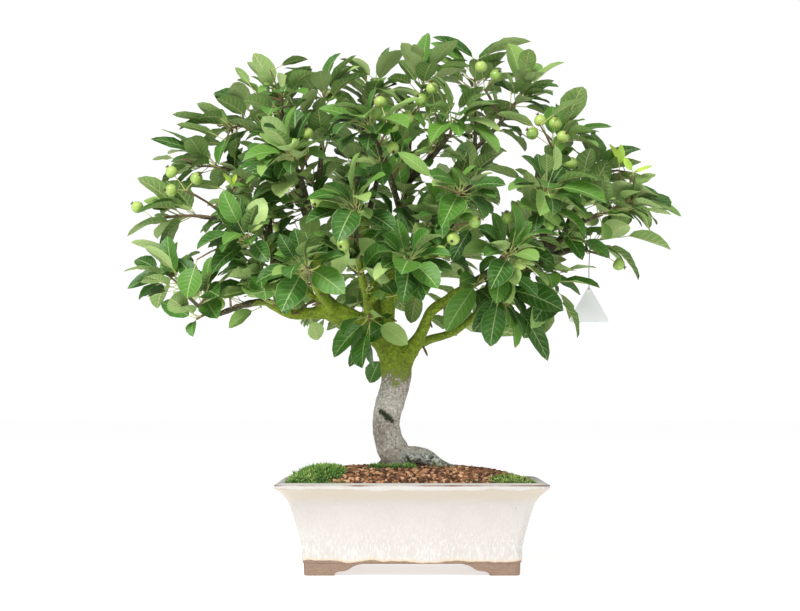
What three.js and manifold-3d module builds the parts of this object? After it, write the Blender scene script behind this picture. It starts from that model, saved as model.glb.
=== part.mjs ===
// An apple bonsai: a crab apple trained as a small tree, in a glazed rectangular pot.
// Millimetres, +Z up. The pot's long side runs along X and the front of the tree faces -Y.
// Everything is laid out round the middle of the pot, and the whole tree is moved at the end,
// so that the origin is the middle of its box, at the level that the pot stands on.

import * as THREE from 'three';
import { mergeVertices } from 'three/addons/utils/BufferGeometryUtils.js';
import Module from 'manifold-3d';

const wasm = await Module();
wasm.setup();

// The pot
const POT_LENGTH = 400;
const POT_DEPTH = 300;
const POT_HEIGHT = 136;
const POT_CORNER = 12;
const RIM_LEDGE = 15;
const WALL = 10;
const FOOT_HEIGHT = 18;
const FOOT_THICK = 15;
const BRACKET = [[0, -1], [0, 0], [6.5, 5.8], [19, 8], [31, 13.4], [41, 17.2]];
const FOOT_SOLE_X = 45;
const FOOT_SOLE_Y = 32;
const FOOT_INSET = 41.5;
const FOOT_CORNER = 9;
const FLOOR_CORNER_INSET = 39;
const FLOOR_TOP = 30;
const DRAIN_RADIUS = 14;
const DRAIN_OFFSET = 85;
const CORNER_STEPS = 2;
const SLIVER = 0.1;
const BARK_SLIVER = 0.5;

// The soil, its mound and what lies in it
const SEAT = 0.3;
const SOIL_EDGE = 129;
const SOIL_MOUND = 27;
const SOIL_GRAIN = 1.6;
const SOIL_CELL = 40;
const SCREEN_SIDE = 50;
const SCREEN_THICK = 1.2;
const SCREEN_PITCH = 12;
const SCREEN_GAP = 9;
const MOSS_CELL = 19;
const MOSS_HEIGHT = 11;
const MOSS_TUFT = 3;

// The leaves, their stalks and the fruit
const LEAF_LENGTH = [47, 70];
const LEAF_SLENDER = 0.6;
const BLADE_THICK = 0.8;
const PETIOLE_LENGTH = [15, 27];
const PETIOLE_RADIUS = 0.9;
const BLADE_STATIONS = [0.26, 0.7];
const APPLE_RADIUS = 9.4;
const STALK_RADIUS = 0.85;
const TWIG_RADIUS = 2.4;
const TWIG_TIP_RADIUS = 1.9;
const ROOT_SPACING = 13;
const LEAVES_ON_SPRAY = 7;
const LEAF_STEP = 0.115;
const LEAF_ATTEMPTS = 14;
const LEAF_CLEARANCE = 0.4;
const TWIG_ATTEMPTS = 24;
const TWIG_BOW_STEP = 1.6;
const TWIG_RISE = 0.1;
const TWIG_MIN_SHARE = 0.4;
const SPUR_RADIUS = 2;
const SPUR_TIP_RADIUS = 1.6;
const CROWN_MIDDLE = new THREE.Vector3(-12, 0, 450);
const CROWN_REACH = new THREE.Vector3(400, 270, 330);

// The name tag and its thread
const TAG_SIDE = 64;
const TAG_THICK = 1;
const TAG_CORNER = 4;
const TAG_HOLE = new THREE.Vector3(265, -36, 419);
const TAG_HOLE_RADIUS = 2.2;
const TAG_HOLE_DROP = 8;
const THREAD_RADIUS = 0.6;

const UP = new THREE.Vector3(0, 0, 1);
const ACROSS = new THREE.Vector3(1, 0, 0);
const GOLDEN_ANGLE = Math.PI * (3 - Math.sqrt(5));

const GLAZE = { color: 0xe9e0d2, roughness: 0.28, metalness: 0 };
const BARK = { color: 0x8d8468, roughness: 0.85, metalness: 0 };
const SOIL = { color: 0x6b4a35, roughness: 0.95, metalness: 0 };
const MOSS = { color: 0x5f8f2a, roughness: 0.95, metalness: 0 };
const LEAF = { color: 0x3f7436, roughness: 0.5, metalness: 0 };
const FRUIT = { color: 0x9cc04f, roughness: 0.4, metalness: 0 };
const SCREEN = { color: 0x2c2f2e, roughness: 0.6, metalness: 0 };
const CARD = { color: 0xf4f4f2, roughness: 0.5, metalness: 0 };
const THREAD = { color: 0x5c6058, roughness: 0.8, metalness: 0 };

const group = new THREE.Group();

// Solids and nodes

function solid(geometry) {
  const bare = geometry.clone();
  bare.deleteAttribute('normal');
  bare.deleteAttribute('uv');
  const merged = mergeVertices(bare, 1e-4);
  return new wasm.Manifold(new wasm.Mesh({
    numProp: 3,
    vertProperties: new Float32Array(merged.attributes.position.array),
    triVerts: new Uint32Array(merged.index.array),
  }));
}

function surface(body) {
  const mesh = body.getMesh();
  const geometry = new THREE.BufferGeometry();
  geometry.setAttribute('position', new THREE.BufferAttribute(mesh.vertProperties, mesh.numProp));
  geometry.setIndex(new THREE.BufferAttribute(mesh.triVerts, 1));
  geometry.computeVertexNormals();
  return geometry;
}

function node(name, body, look) {
  const mesh = new THREE.Mesh(surface(body), new THREE.MeshStandardMaterial(look));
  mesh.name = name;
  group.add(mesh);
}

function fused(bodies) {
  return bodies.reduce((whole, next) => whole.add(next));
}

// The main piece of a body that was cut, without its slivers
function largest(body, sliver = SLIVER) {
  const pieces = body.asOriginal().simplify(sliver).decompose();
  return pieces.sort((a, b) => b.volume() - a.volume())[0];
}

function apart(a, b) {
  const p = a.boundingBox();
  const q = b.boundingBox();
  return [0, 1, 2].some((k) => p.min[k] > q.max[k] || q.min[k] > p.max[k]);
}

function clear(body, others) {
  return others.every((other) => apart(body, other) || body.intersect(other).isEmpty());
}

function meshOf(points, triangles) {
  const geometry = new THREE.BufferGeometry();
  geometry.setFromPoints(points);
  geometry.setIndex(triangles);
  return geometry;
}

// A closed skin over rings with equal numbers of points, with a flat face at each end.
function loft(rings) {
  const count = rings[0].length;
  const triangles = [];
  for (let i = 0; i < rings.length - 1; i += 1) {
    for (let j = 0; j < count; j += 1) {
      const a = i * count + j;
      const b = i * count + (j + 1) % count;
      triangles.push(a, b, b + count, a, b + count, a + count);
    }
  }
  const last = (rings.length - 1) * count;
  for (let j = 1; j < count - 1; j += 1) {
    triangles.push(0, j + 1, j, last, last + j, last + j + 1);
  }
  return solid(meshOf(rings.flat(), triangles));
}

// Seeded chance: each call of the returned function gives the next value in a range.
function seeded(seed) {
  const modulus = 2147483647;
  let state = (seed * 7919 + 104729) % modulus;
  const next = () => {
    state = (state * 16807) % modulus;
    return state / modulus;
  };
  next();
  next();
  return (low, high) => low + (high - low) * next();
}

// Round wood: a limb is a list of points [x, y, z, radius], and its rings don't twist.
function crossings(path) {
  const result = [];
  let side = null;
  path.forEach((point, i) => {
    const before = path[Math.max(i - 1, 0)];
    const after = path[Math.min(i + 1, path.length - 1)];
    const along = after.clone().sub(before).normalize();
    if (side === null) side = Math.abs(along.z) < 0.9 ? UP.clone() : ACROSS.clone();
    side = side.clone().addScaledVector(along, -side.dot(along)).normalize();
    result.push({ along, side, lift: along.clone().cross(side) });
  });
  return result;
}

function wood(limb, sides, grow = 0) {
  const path = limb.map(([x, y, z]) => new THREE.Vector3(x, y, z));
  const frames = crossings(path);
  path[0].addScaledVector(frames[0].along, -grow);
  path[path.length - 1].addScaledVector(frames[path.length - 1].along, grow);
  const rings = path.map((point, i) => {
    const radius = limb[i][3] + grow;
    return Array.from({ length: sides }, (_, j) => {
      const turn = (2 * Math.PI * j) / sides;
      return point.clone()
        .addScaledVector(frames[i].side, radius * Math.cos(turn))
        .addScaledVector(frames[i].lift, radius * Math.sin(turn));
    });
  });
  return loft(rings);
}

// The trunk and its limbs, each from inside the wood that it grows from to its tip
const LIMBS = {
  trunk: [
    [-16, 4, 92, 14], [-14, 2, 126, 22], [-15, 0, 152, 24.5], [-23.5, 0, 172, 23.5],
    [-33, 0, 192, 22], [-38, -1, 214, 20.8], [-37, -1, 234, 21], [-31, -2, 256, 21.6],
    [-25, -1, 277, 22], [-23, 0, 299, 23.5], [-26, 0, 320, 23.5], [-38, 0, 341, 20.5],
    [-57, -2, 358, 18], [-78, -6, 370, 17], [-100, -12, 381, 16.5], [-118, -16, 388, 16],
    [-129, -18, 398, 14], [-134, -20, 416, 11], [-137, -24, 442, 9], [-147, -32, 497, 7.5],
    [-165, -45, 557, 6], [-181, -55, 616, 4.8], [-190, -62, 664, 3.2], [-194, -64, 700, 2.4],
  ],
  root_right: [
    [-26, -4, 160, 18], [-4, -10, 171, 15], [18, -12, 171, 12.5], [42, -17, 157, 10.5],
    [62, -21, 149, 9], [84, -25, 145, 6.5],
  ],
  root_left: [[-22, -6, 146, 13], [-54, -20, 138, 9], [-80, -34, 129, 6]],
  root_back: [[-36, 12, 156, 15], [-46, 36, 148, 10], [-52, 62, 139, 6]],
  root_back_right: [[-24, 10, 158, 13], [0, 30, 149, 9], [20, 46, 142, 5]],
  low_left: [
    [-124, -17, 389, 12], [-155, -22, 385, 9], [-180, -30, 384, 7.4], [-203, -38, 394, 6.8],
    [-217, -42, 402, 6.4], [-236, -50, 400, 5.2], [-254, -58, 395, 4.5], [-277, -66, 386, 4.3],
    [-292, -70, 382, 4], [-311, -76, 391, 3.5], [-330, -72, 408, 2.8],
  ],
  stub: [[-128, -14, 392, 6], [-146, -12, 409, 4.4], [-162, -12, 424, 4]],
  rising_left: [
    [-196, -34, 390, 7], [-205, -28, 432, 6.4], [-208, -16, 480, 6], [-216, -6, 517, 5.4],
    [-214, 10, 550, 4.8], [-203, 28, 590, 4.2], [-206, 38, 630, 3.4], [-212, 42, 672, 2.4],
  ],
  far_left: [
    [-216, -6, 517, 5], [-250, -14, 528, 4.2], [-284, -16, 530, 3.6], [-312, -14, 530, 2.6],
  ],
  upper_left: [[-212, 20, 566, 4], [-248, 30, 590, 3.4], [-282, 32, 608, 2.6]],
  crown_left: [
    [-38, 6, 338, 13], [-52, 16, 374, 9], [-58, 24, 402, 7.2], [-58, 34, 447, 6.6],
    [-70, 44, 512, 5.8], [-82, 44, 590, 4.6], [-78, 38, 650, 3.4], [-66, 34, 690, 2.4],
  ],
  crown_middle: [
    [-30, 0, 332, 15], [-36, -6, 364, 12], [-36, -10, 394, 10.5], [-35, -14, 440, 9],
    [-18, -20, 513, 7.4], [-5, -24, 582, 5.8], [-4, -24, 640, 4.2], [12, -22, 702, 2.6],
  ],
  low_right: [
    [-18, 0, 299, 16], [-4, -4, 327, 12.5], [7, -8, 342, 10.5], [18, -12, 363, 8.8],
    [29, -16, 388, 8.2], [54, -22, 406, 7.8], [86, -30, 426, 7.3], [118, -38, 443, 7],
    [166, -48, 448, 6.8], [186, -54, 458, 7.4], [205, -58, 478, 6.2], [225, -60, 498, 5.2],
    [247, -60, 518, 4.2], [285, -60, 532, 3.2],
  ],
  far_right: [[186, -54, 458, 5.2], [212, -46, 472, 4.6], [236, -40, 479, 4.2], [262, -38, 480, 3.2]],
  back_right: [
    [10, -6, 340, 8], [30, 14, 348, 6.8], [54, 34, 355, 6.2], [70, 48, 363, 5.8],
    [100, 78, 388, 5.2], [112, 104, 416, 4.6], [126, 130, 448, 3.6], [142, 150, 474, 2.6],
  ],
  crown_right: [
    [-35, -12, 402, 8], [-10, 4, 432, 7], [22, 18, 458, 6.4], [50, 30, 506, 5.8],
    [78, 40, 558, 5], [96, 44, 604, 4.2], [98, 42, 652, 3.4], [98, 40, 702, 2.4],
  ],
  upper_right: [
    [205, -58, 478, 5.4], [190, -62, 520, 5], [186, -64, 572, 4.6], [190, -64, 600, 4.2],
    [202, -62, 622, 3.2],
  ],
  right_shoulder: [[225, -60, 498, 4.2], [240, -42, 534, 3.6], [262, -24, 568, 2.6]],
  top_right: [[98, 43, 640, 3.6], [124, 22, 664, 3.2], [146, 6, 690, 2.4]],
  top_left: [[-147, -32, 497, 5.4], [-142, -28, 560, 4.6], [-136, -28, 620, 3.8], [-132, -30, 680, 2.4]],
  front_left: [
    [-110, -14, 386, 8], [-130, -58, 404, 6], [-142, -102, 420, 5], [-148, -150, 438, 3],
  ],
  front_far_left: [
    [-180, -30, 384, 5.4], [-200, -70, 410, 4.8], [-218, -108, 442, 4], [-230, -126, 466, 2.6],
  ],
  front_middle: [
    [-60, -4, 362, 9], [-66, -44, 400, 6.4], [-74, -92, 438, 5.4], [-80, -136, 474, 4.4],
    [-80, -172, 506, 2.8],
  ],
  front_low: [[-66, -44, 400, 5.4], [-40, -84, 418, 4.8], [-20, -128, 434, 4], [-10, -170, 446, 2.6]],
  front_right: [
    [-33, -14, 432, 7], [-6, -52, 464, 6], [22, -96, 498, 5], [46, -136, 522, 4], [62, -168, 538, 2.8],
  ],
  front_low_right: [
    [86, -30, 426, 6], [104, -70, 438, 5.2], [122, -112, 450, 4.2], [134, -148, 458, 2.8],
  ],
  front_far_right: [[118, -38, 443, 5.4], [150, -66, 486, 4.8], [174, -96, 522, 4], [188, -122, 546, 2.6]],
  front_top: [
    [-14, -22, 530, 5.6], [-26, -62, 566, 4.8], [-40, -104, 606, 4], [-54, -136, 636, 2.6],
  ],
  front_top_left: [
    [-147, -32, 497, 6], [-152, -72, 536, 5], [-160, -106, 572, 4], [-168, -126, 594, 2.6],
  ],
  front_top_right: [[-5, -24, 582, 4.8], [20, -56, 606, 4.2], [42, -90, 628, 3.6], [56, -118, 644, 2.4]],
  back_left: [
    [-100, -4, 382, 8], [-118, 36, 402, 6.2], [-138, 82, 424, 5.2], [-154, 124, 448, 4],
    [-162, 150, 466, 2.6],
  ],
  back_far_left: [
    [-207, -18, 472, 4.8], [-220, 26, 500, 4.2], [-236, 70, 526, 3.6], [-246, 104, 546, 2.6],
  ],
  back_middle: [
    [-38, 8, 347, 10], [-44, 46, 390, 7], [-56, 90, 440, 6], [-70, 130, 500, 4.8],
    [-82, 160, 554, 2.8],
  ],
  back_low: [[-50, 70, 418, 5.4], [-30, 112, 446, 4.8], [-4, 150, 476, 3.6], [6, 168, 490, 2.6]],
  back_top: [[-70, 44, 512, 5], [-62, 84, 560, 4.4], [-50, 114, 612, 3.6], [-44, 132, 644, 2.4]],
  back_top_right: [[22, 18, 458, 5.4], [40, 62, 500, 4.8], [56, 106, 552, 4.2], [70, 148, 598, 2.6]],
  back_far_right: [
    [118, -38, 443, 5], [140, 4, 468, 4.6], [168, 44, 500, 4], [196, 82, 530, 3.4],
    [214, 104, 546, 2.4],
  ],
};

function sidesOf(limb) {
  const thickest = limb[0][3];
  if (thickest > 15.9) return 8;
  if (thickest > 9) return 6;
  return thickest > 6.9 ? 5 : 4;
}

const limbs = Object.values(LIMBS);
const trunk = fused(limbs.map((limb) => wood(limb, sidesOf(limb))));
const trunkRoom = fused(limbs.map((limb) => wood(limb, sidesOf(limb), SEAT * 1.6)));

// The places where a twig may grow, along the middle of every limb
const ROOT_STEP = 6;
const rootPlaces = limbs.flatMap((limb) => limb.slice(1).flatMap((end, i) => {
  const from = new THREE.Vector3(...limb[i].slice(0, 3));
  const to = new THREE.Vector3(...end.slice(0, 3));
  const steps = Math.ceil(from.distanceTo(to) / ROOT_STEP);
  return Array.from({ length: steps }, (_, k) => from.clone().lerp(to, (k + 1) / steps));
}));
const usedRoots = [];

// The nearest such place that keeps its distance from the twigs that are there already
function freeRoot(point) {
  const free = rootPlaces.filter((place) => (
    usedRoots.every((used) => used.distanceTo(place) > ROOT_SPACING)
  ));
  return free.sort((p, q) => p.distanceTo(point) - q.distanceTo(point))[0];
}

// A thin twig bows upwards between its root and its tip.
function twigCurve(root, tip, bow) {
  const middle = root.clone().add(tip).multiplyScalar(0.5).add(bow);
  return new THREE.QuadraticBezierCurve3(root, middle, tip);
}

function twigWood(curve, steps, startRadius, endRadius, sides) {
  const limb = curve.getPoints(steps).map((p, i) => {
    const radius = startRadius + ((endRadius - startRadius) * i) / steps;
    return [p.x, p.y, p.z, radius];
  });
  return wood(limb, sides);
}

// Outwards from the middle of the crown, which is where leaves and spurs grow to
function outwards(point) {
  return point.clone().sub(CROWN_MIDDLE).divide(CROWN_REACH).divide(CROWN_REACH).normalize();
}

function around(axis, turn, tilt) {
  const first = Math.abs(axis.z) < 0.9 ? UP.clone() : ACROSS.clone();
  first.addScaledVector(axis, -first.dot(axis)).normalize();
  const second = axis.clone().cross(first);
  return axis.clone().multiplyScalar(Math.cos(tilt))
    .addScaledVector(first, Math.sin(tilt) * Math.cos(turn))
    .addScaledVector(second, Math.sin(tilt) * Math.sin(turn));
}

// A leaf: a petiole and a folded, arched blade with waved edges, as one closed skin.
// grow makes it fatter all round, and rootShare starts its petiole nearer to the blade.
function leafSolid(leaf, grow = 0, rootShare = 0) {
  const across = leaf.normal.clone().cross(leaf.along);
  const half = BLADE_THICK / 2 + grow;
  const stalk = PETIOLE_RADIUS + grow;
  const at = (share, side, lift) => {
    const turn = leaf.arch * share;
    const normal = leaf.normal.clone().multiplyScalar(Math.cos(turn))
      .addScaledVector(leaf.along, Math.sin(turn));
    return leaf.base.clone()
      .addScaledVector(leaf.along, (leaf.length * Math.sin(turn)) / leaf.arch)
      .addScaledVector(leaf.normal, (-leaf.length * (1 - Math.cos(turn))) / leaf.arch)
      .addScaledVector(across, side)
      .addScaledVector(normal, lift);
  };
  const edge = (share, hand, wave, lift) => {
    const swell = Math.sin(Math.PI * share ** 0.9) ** 0.8;
    const width = (leaf.width / 2 + grow) * swell;
    return at(share, hand * width * Math.cos(leaf.fold), width * Math.sin(leaf.fold) + wave + lift);
  };
  const wavesLeft = BLADE_STATIONS.map((share, i) => (i % 2 ? -leaf.wave : leaf.wave));
  const skin = (lift) => {
    const left = BLADE_STATIONS.map((share, i) => edge(share, 1, wavesLeft[i], lift));
    const right = BLADE_STATIONS.map((share, i) => edge(share, -1, -wavesLeft[i], lift));
    return [...left, at(1 + grow / leaf.length, 0, lift), ...right.reverse()];
  };
  const ring = (middle) => [
    middle.clone().addScaledVector(across, stalk),
    middle.clone().addScaledVector(leaf.normal, -1.3 * stalk),
    middle.clone().addScaledVector(across, -stalk),
  ];
  const top = skin(half);
  const bottom = skin(-half);
  const rim = top.length;
  const [baseLeft, baseUnder, baseRight] = ring(leaf.base);
  const points = [baseLeft, ...top, baseRight, ...bottom, baseUnder, at(0.5, 0, half), at(0.5, 0, -half)];
  points.push(...ring(leaf.root.clone().lerp(leaf.base, rootShare)));
  const topLoop = Array.from({ length: rim + 2 }, (_, i) => i);
  const bottomLoop = topLoop.map((i) => (i === 0 || i === rim + 1 ? i : i + rim + 1));
  const under = 2 * rim + 2;
  const triangles = [];
  topLoop.forEach((i, k) => {
    triangles.push(under + 1, topLoop[(k + 1) % topLoop.length], i);
  });
  const underLoop = [...bottomLoop, under];
  underLoop.forEach((i, k) => {
    triangles.push(under + 2, i, underLoop[(k + 1) % underLoop.length]);
  });
  for (let k = 0; k <= rim; k += 1) {
    const [a, b, c, d] = [topLoop[k], topLoop[k + 1], bottomLoop[k + 1], bottomLoop[k]];
    if (b !== c) triangles.push(a, b, c);
    if (a !== d) triangles.push(a, c, d);
  }
  const blade = [0, under, rim + 1];
  const root = [under + 3, under + 4, under + 5];
  blade.forEach((p, k) => {
    const q = blade[(k + 1) % 3];
    const qRoot = root[(k + 1) % 3];
    triangles.push(p, q, qRoot, p, qRoot, root[k]);
  });
  triangles.push(...root);
  return solid(meshOf(points, triangles));
}

// One way that a leaf can stand at its place on a twig: place 0 is at the tip, the others
// follow it downwards, each a golden angle further round.
function leafPose(twig, place, attempt) {
  const draw = seeded(twig.seed * 200 + place * 16 + attempt);
  const share = 1 - 0.02 - LEAF_STEP * place;
  const axis = twig.curve.getTangent(share);
  const turn = twig.turn + place * GOLDEN_ANGLE + draw(-0.4, 0.4) + attempt * 0.9;
  const tilt = place === 0 ? draw(0.1, 0.5) : draw(0.75, 1.25);
  const root = twig.curve.getPoint(share);
  const out = outwards(root);
  const stalkAlong = around(axis, turn, tilt).addScaledVector(out, 0.35).normalize();
  const base = root.clone().addScaledVector(stalkAlong, draw(...PETIOLE_LENGTH));
  const along = stalkAlong.clone().addScaledVector(UP, draw(-0.4, 0.2)).normalize();
  const facing = UP.clone().multiplyScalar(0.8).addScaledVector(out, 0.55);
  facing.add(new THREE.Vector3(draw(-0.45, 0.45), draw(-0.45, 0.45), draw(-0.1, 0.1)));
  const normal = facing.addScaledVector(along, -facing.dot(along)).normalize();
  const length = draw(...LEAF_LENGTH);
  return {
    root,
    base,
    along,
    normal,
    length,
    width: length * LEAF_SLENDER * draw(0.88, 1.12),
    arch: draw(0.35, 0.95),
    fold: draw(0.12, 0.42),
    wave: draw(0.6, 1.8),
  };
}

// Where each spray's main twig ends, from the far left over the top to the right, then the
// low, the front and the back ones
const SPRAY_TIPS = [
  [-362, -44, 440], [-352, -10, 532], [-324, 30, 612], [-276, 44, 674],
  [-208, 40, 712], [-130, -30, 718], [-55, 30, 728], [20, -20, 744], [98, 40, 744], [168, -10, 718],
  [232, -50, 650], [290, -12, 600], [328, -60, 550], [306, -18, 500],
  [210, -62, 414], [138, -78, 396], [-62, -48, 372], [-300, -78, 408],
  [-238, -152, 490], [-152, -192, 446], [-82, -206, 532], [-4, -206, 456], [70, -202, 552],
  [140, -182, 466], [196, -152, 562], [-172, -152, 612], [-62, -166, 652], [62, -146, 660],
  [-254, 140, 562], [-166, 184, 480], [-88, 194, 584], [10, 200, 502], [-40, 160, 668],
  [90, 184, 612], [226, 132, 562],
];

// The fruit bunches: the end of the spur that carries each, and the middles of its apples
const BUNCHES = [
  { spur: [-386, -30, 526], apples: [[-412, -22, 545]] },
  { spur: [-336, -62, 566], apples: [[-357, -60, 594], [-356, -74, 566], [-318, -84, 582]] },
  { spur: [-150, -138, 612], apples: [[-152, -150, 641], [-170, -160, 624]] },
  {
    spur: [-34, -136, 650],
    apples: [[-46, -122, 690], [-52, -158, 668], [-28, -168, 650], [-6, -160, 664], [-28, -172, 618]],
  },
  { spur: [-126, -190, 556], apples: [[-135, -215, 538]] },
  { spur: [110, -30, 722], apples: [[104, -42, 754], [126, -50, 740]] },
  { spur: [34, -112, 676], apples: [[30, -122, 710], [14, -134, 692]] },
  {
    spur: [208, -78, 628],
    apples: [[178, -92, 648], [190, -84, 668], [212, -82, 664], [222, -100, 642], [236, -76, 606]],
  },
  { spur: [64, -190, 496], apples: [[88, -216, 508], [58, -216, 484], [40, -214, 466]] },
  { spur: [142, -166, 486], apples: [[136, -190, 516], [156, -166, 452]] },
  { spur: [284, -56, 470], apples: [[307, -60, 457]] },
  { spur: [-268, -84, 408], apples: [[-284, -78, 398]] },
  { spur: [-88, -186, 488], apples: [[-98, -214, 476]] },
  { spur: [-196, 150, 524], apples: [[-212, 176, 530], [-190, 180, 512]] },
  { spur: [30, 178, 566], apples: [[22, 208, 574], [44, 204, 558]] },
  { spur: [176, 150, 524], apples: [[190, 172, 510], [166, 180, 534]] },
];

// The pot: half sizes shrink by the inset from the rim's edge at each height.
const POT_OUTSIDE = [
  [FOOT_HEIGHT, 41], [23, 38.8], [36, 39.2], [60, 33.2], [84, 27.5], [103, 21.8], [113, 16.4],
  [121, 9], [126.5, 2.2], [128, 0], [POT_HEIGHT - 1.6, 0], [POT_HEIGHT, 1.6],
];
const POT_INSIDE = [
  [POT_HEIGHT, RIM_LEDGE - 1.5], [POT_HEIGHT - 1.5, RIM_LEDGE], [122, 20], [113, 26.4],
  [84, 27.5 + WALL], [60, 33.2 + WALL], [FLOOR_TOP, FLOOR_CORNER_INSET + WALL],
];

function roundedRing(halfX, halfY, corner, z) {
  const centres = [[1, 1], [-1, 1], [-1, -1], [1, -1]];
  return centres.flatMap(([sx, sy], k) => Array.from({ length: CORNER_STEPS + 1 }, (_, i) => {
    const turn = (k + i / CORNER_STEPS) * (Math.PI / 2);
    return new THREE.Vector3(
      sx * (halfX - corner) + corner * Math.cos(turn),
      sy * (halfY - corner) + corner * Math.sin(turn),
      z,
    );
  }));
}

function potRings(profile, corner, extra = 0) {
  return profile.map(([z, inset]) => (
    roundedRing(POT_LENGTH / 2 - inset - extra, POT_DEPTH / 2 - inset - extra, corner, z)
  ));
}

// The feet: a low wall under the pot, cut through along both ways with a bracket's outline
function footCutter(halfSpan, along) {
  const right = BRACKET.map(([x, z]) => new THREE.Vector2(halfSpan - x, z));
  const left = BRACKET.map(([x, z]) => new THREE.Vector2(x - halfSpan, z));
  const shape = new THREE.Shape([...left, ...right.reverse()]);
  const cutter = new THREE.ExtrudeGeometry(shape, { depth: POT_LENGTH, bevelEnabled: false });
  cutter.translate(0, 0, -POT_LENGTH / 2);
  cutter.rotateX(Math.PI / 2);
  if (along === 'y') cutter.rotateZ(Math.PI / 2);
  return solid(cutter);
}

function makePot() {
  const bowl = loft([...potRings(POT_OUTSIDE, POT_CORNER), ...potRings(POT_INSIDE, POT_CORNER - 4)]);
  const footX = POT_LENGTH / 2 - FOOT_INSET;
  const footY = POT_DEPTH / 2 - FOOT_INSET;
  const footTop = FOOT_HEIGHT + 4;
  const outer = loft([
    roundedRing(footX - 1, footY - 1, FOOT_CORNER, 0),
    roundedRing(footX, footY, FOOT_CORNER, footTop),
  ]);
  const inner = loft([-1, footTop + 1].map((z) => (
    roundedRing(footX - FOOT_THICK, footY - FOOT_THICK, FOOT_CORNER / 2, z)
  )));
  const feet = outer.subtract(inner)
    .subtract(footCutter(footX - FOOT_SOLE_X, 'x'))
    .subtract(footCutter(footY - FOOT_SOLE_Y, 'y'));
  const drains = [-DRAIN_OFFSET, DRAIN_OFFSET].map((x) => {
    const hole = new THREE.CylinderGeometry(DRAIN_RADIUS, DRAIN_RADIUS, 20, 12);
    hole.rotateX(Math.PI / 2);
    hole.translate(x, 0, FLOOR_TOP - 6);
    return solid(hole);
  });
  return bowl.add(feet).subtract(fused(drains));
}

function block(sizeX, sizeY, sizeZ, x, y, z) {
  return solid(new THREE.BoxGeometry(sizeX, sizeY, sizeZ).translate(x, y, z));
}

// The plastic screens that keep the soil in over the drain holes
function makeScreen(middle) {
  const level = FLOOR_TOP + SEAT + SCREEN_THICK / 2;
  const plate = block(SCREEN_SIDE, SCREEN_SIDE, SCREEN_THICK, middle, 0, level);
  const rows = [-0.5, 0.5];
  const holes = rows.flatMap((i) => rows.map((j) => (
    block(SCREEN_GAP, SCREEN_GAP, 5, middle + i * SCREEN_PITCH, j * SCREEN_PITCH, level)
  )));
  return plate.subtract(fused(holes));
}

// The soil's surface: a mound that falls to the rim, flatter on the left than on the right
function soilHeight(x, y) {
  const alongX = 1 - (Math.abs(x) / 188) ** (x < 0 ? 4 : 3);
  const alongY = 1 - (Math.abs(y) / 138) ** 2.6;
  return SOIL_EDGE + SOIL_MOUND * Math.max(alongX, 0) * Math.max(alongY, 0);
}

// A closed block under a surface that is given over a rectangle in square cells
function reliefBlock(left, front, columns, rows, cell, bottom, height) {
  const points = [];
  for (let row = 0; row <= rows; row += 1) {
    for (let column = 0; column <= columns; column += 1) {
      const [x, y] = [left + column * cell, front + row * cell];
      points.push(new THREE.Vector3(x, y, height(x, y)), new THREE.Vector3(x, y, bottom));
    }
  }
  const top = (column, row) => 2 * (row * (columns + 1) + column);
  const triangles = [];
  const quad = (a, b, c, d) => triangles.push(a, b, c, a, c, d);
  for (let row = 0; row < rows; row += 1) {
    for (let column = 0; column < columns; column += 1) {
      const [a, b] = [top(column, row), top(column + 1, row)];
      const [c, d] = [top(column + 1, row + 1), top(column, row + 1)];
      quad(a, b, c, d);
      quad(d + 1, c + 1, b + 1, a + 1);
    }
  }
  for (let column = 0; column < columns; column += 1) {
    const [a, b] = [top(column, 0), top(column + 1, 0)];
    const [c, d] = [top(column, rows), top(column + 1, rows)];
    quad(a + 1, b + 1, b, a);
    quad(c, d, d + 1, c + 1);
  }
  for (let row = 0; row < rows; row += 1) {
    const [a, b] = [top(0, row), top(0, row + 1)];
    const [c, d] = [top(columns, row), top(columns, row + 1)];
    quad(a, b, b + 1, a + 1);
    quad(c + 1, d + 1, d, c);
  }
  return solid(meshOf(points, triangles));
}

// What fits inside the pot, a little clear of its walls and floor
const cavity = loft(potRings([
  [FLOOR_TOP + SEAT, FLOOR_CORNER_INSET + WALL],
  ...POT_INSIDE.slice(1, -1).reverse(),
  [2 * POT_HEIGHT, RIM_LEDGE],
], POT_CORNER - 4, SEAT));

function makeSoil() {
  const draw = seeded(77);
  const columns = Math.ceil((POT_LENGTH - 20) / SOIL_CELL);
  const rows = Math.ceil((POT_DEPTH - 20) / SOIL_CELL);
  const ground = reliefBlock(
    (-columns * SOIL_CELL) / 2, (-rows * SOIL_CELL) / 2, columns, rows, SOIL_CELL, FLOOR_TOP - 4,
    (x, y) => soilHeight(x, y) + draw(-SOIL_GRAIN, SOIL_GRAIN),
  );
  const side = SCREEN_SIDE + 2 * SEAT;
  const depth = 2 * (SCREEN_THICK + 2 * SEAT);
  const pockets = [-DRAIN_OFFSET, DRAIN_OFFSET].map((x) => block(side, side, depth, x, 0, FLOOR_TOP));
  return ground.intersect(cavity).subtract(trunkRoom).subtract(fused(pockets));
}

// Moss: a tufted cushion that lies on the soil inside an outline
const MOSS_LEFT = [
  [-184, -132], [-146, -134], [-132, -112], [-98, -98], [-90, -62], [-100, -22],
  [-132, 12], [-172, 8], [-184, -30],
];
const MOSS_RIGHT = [[112, -128], [178, -133], [183, -92], [152, -68], [120, -92]];

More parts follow.
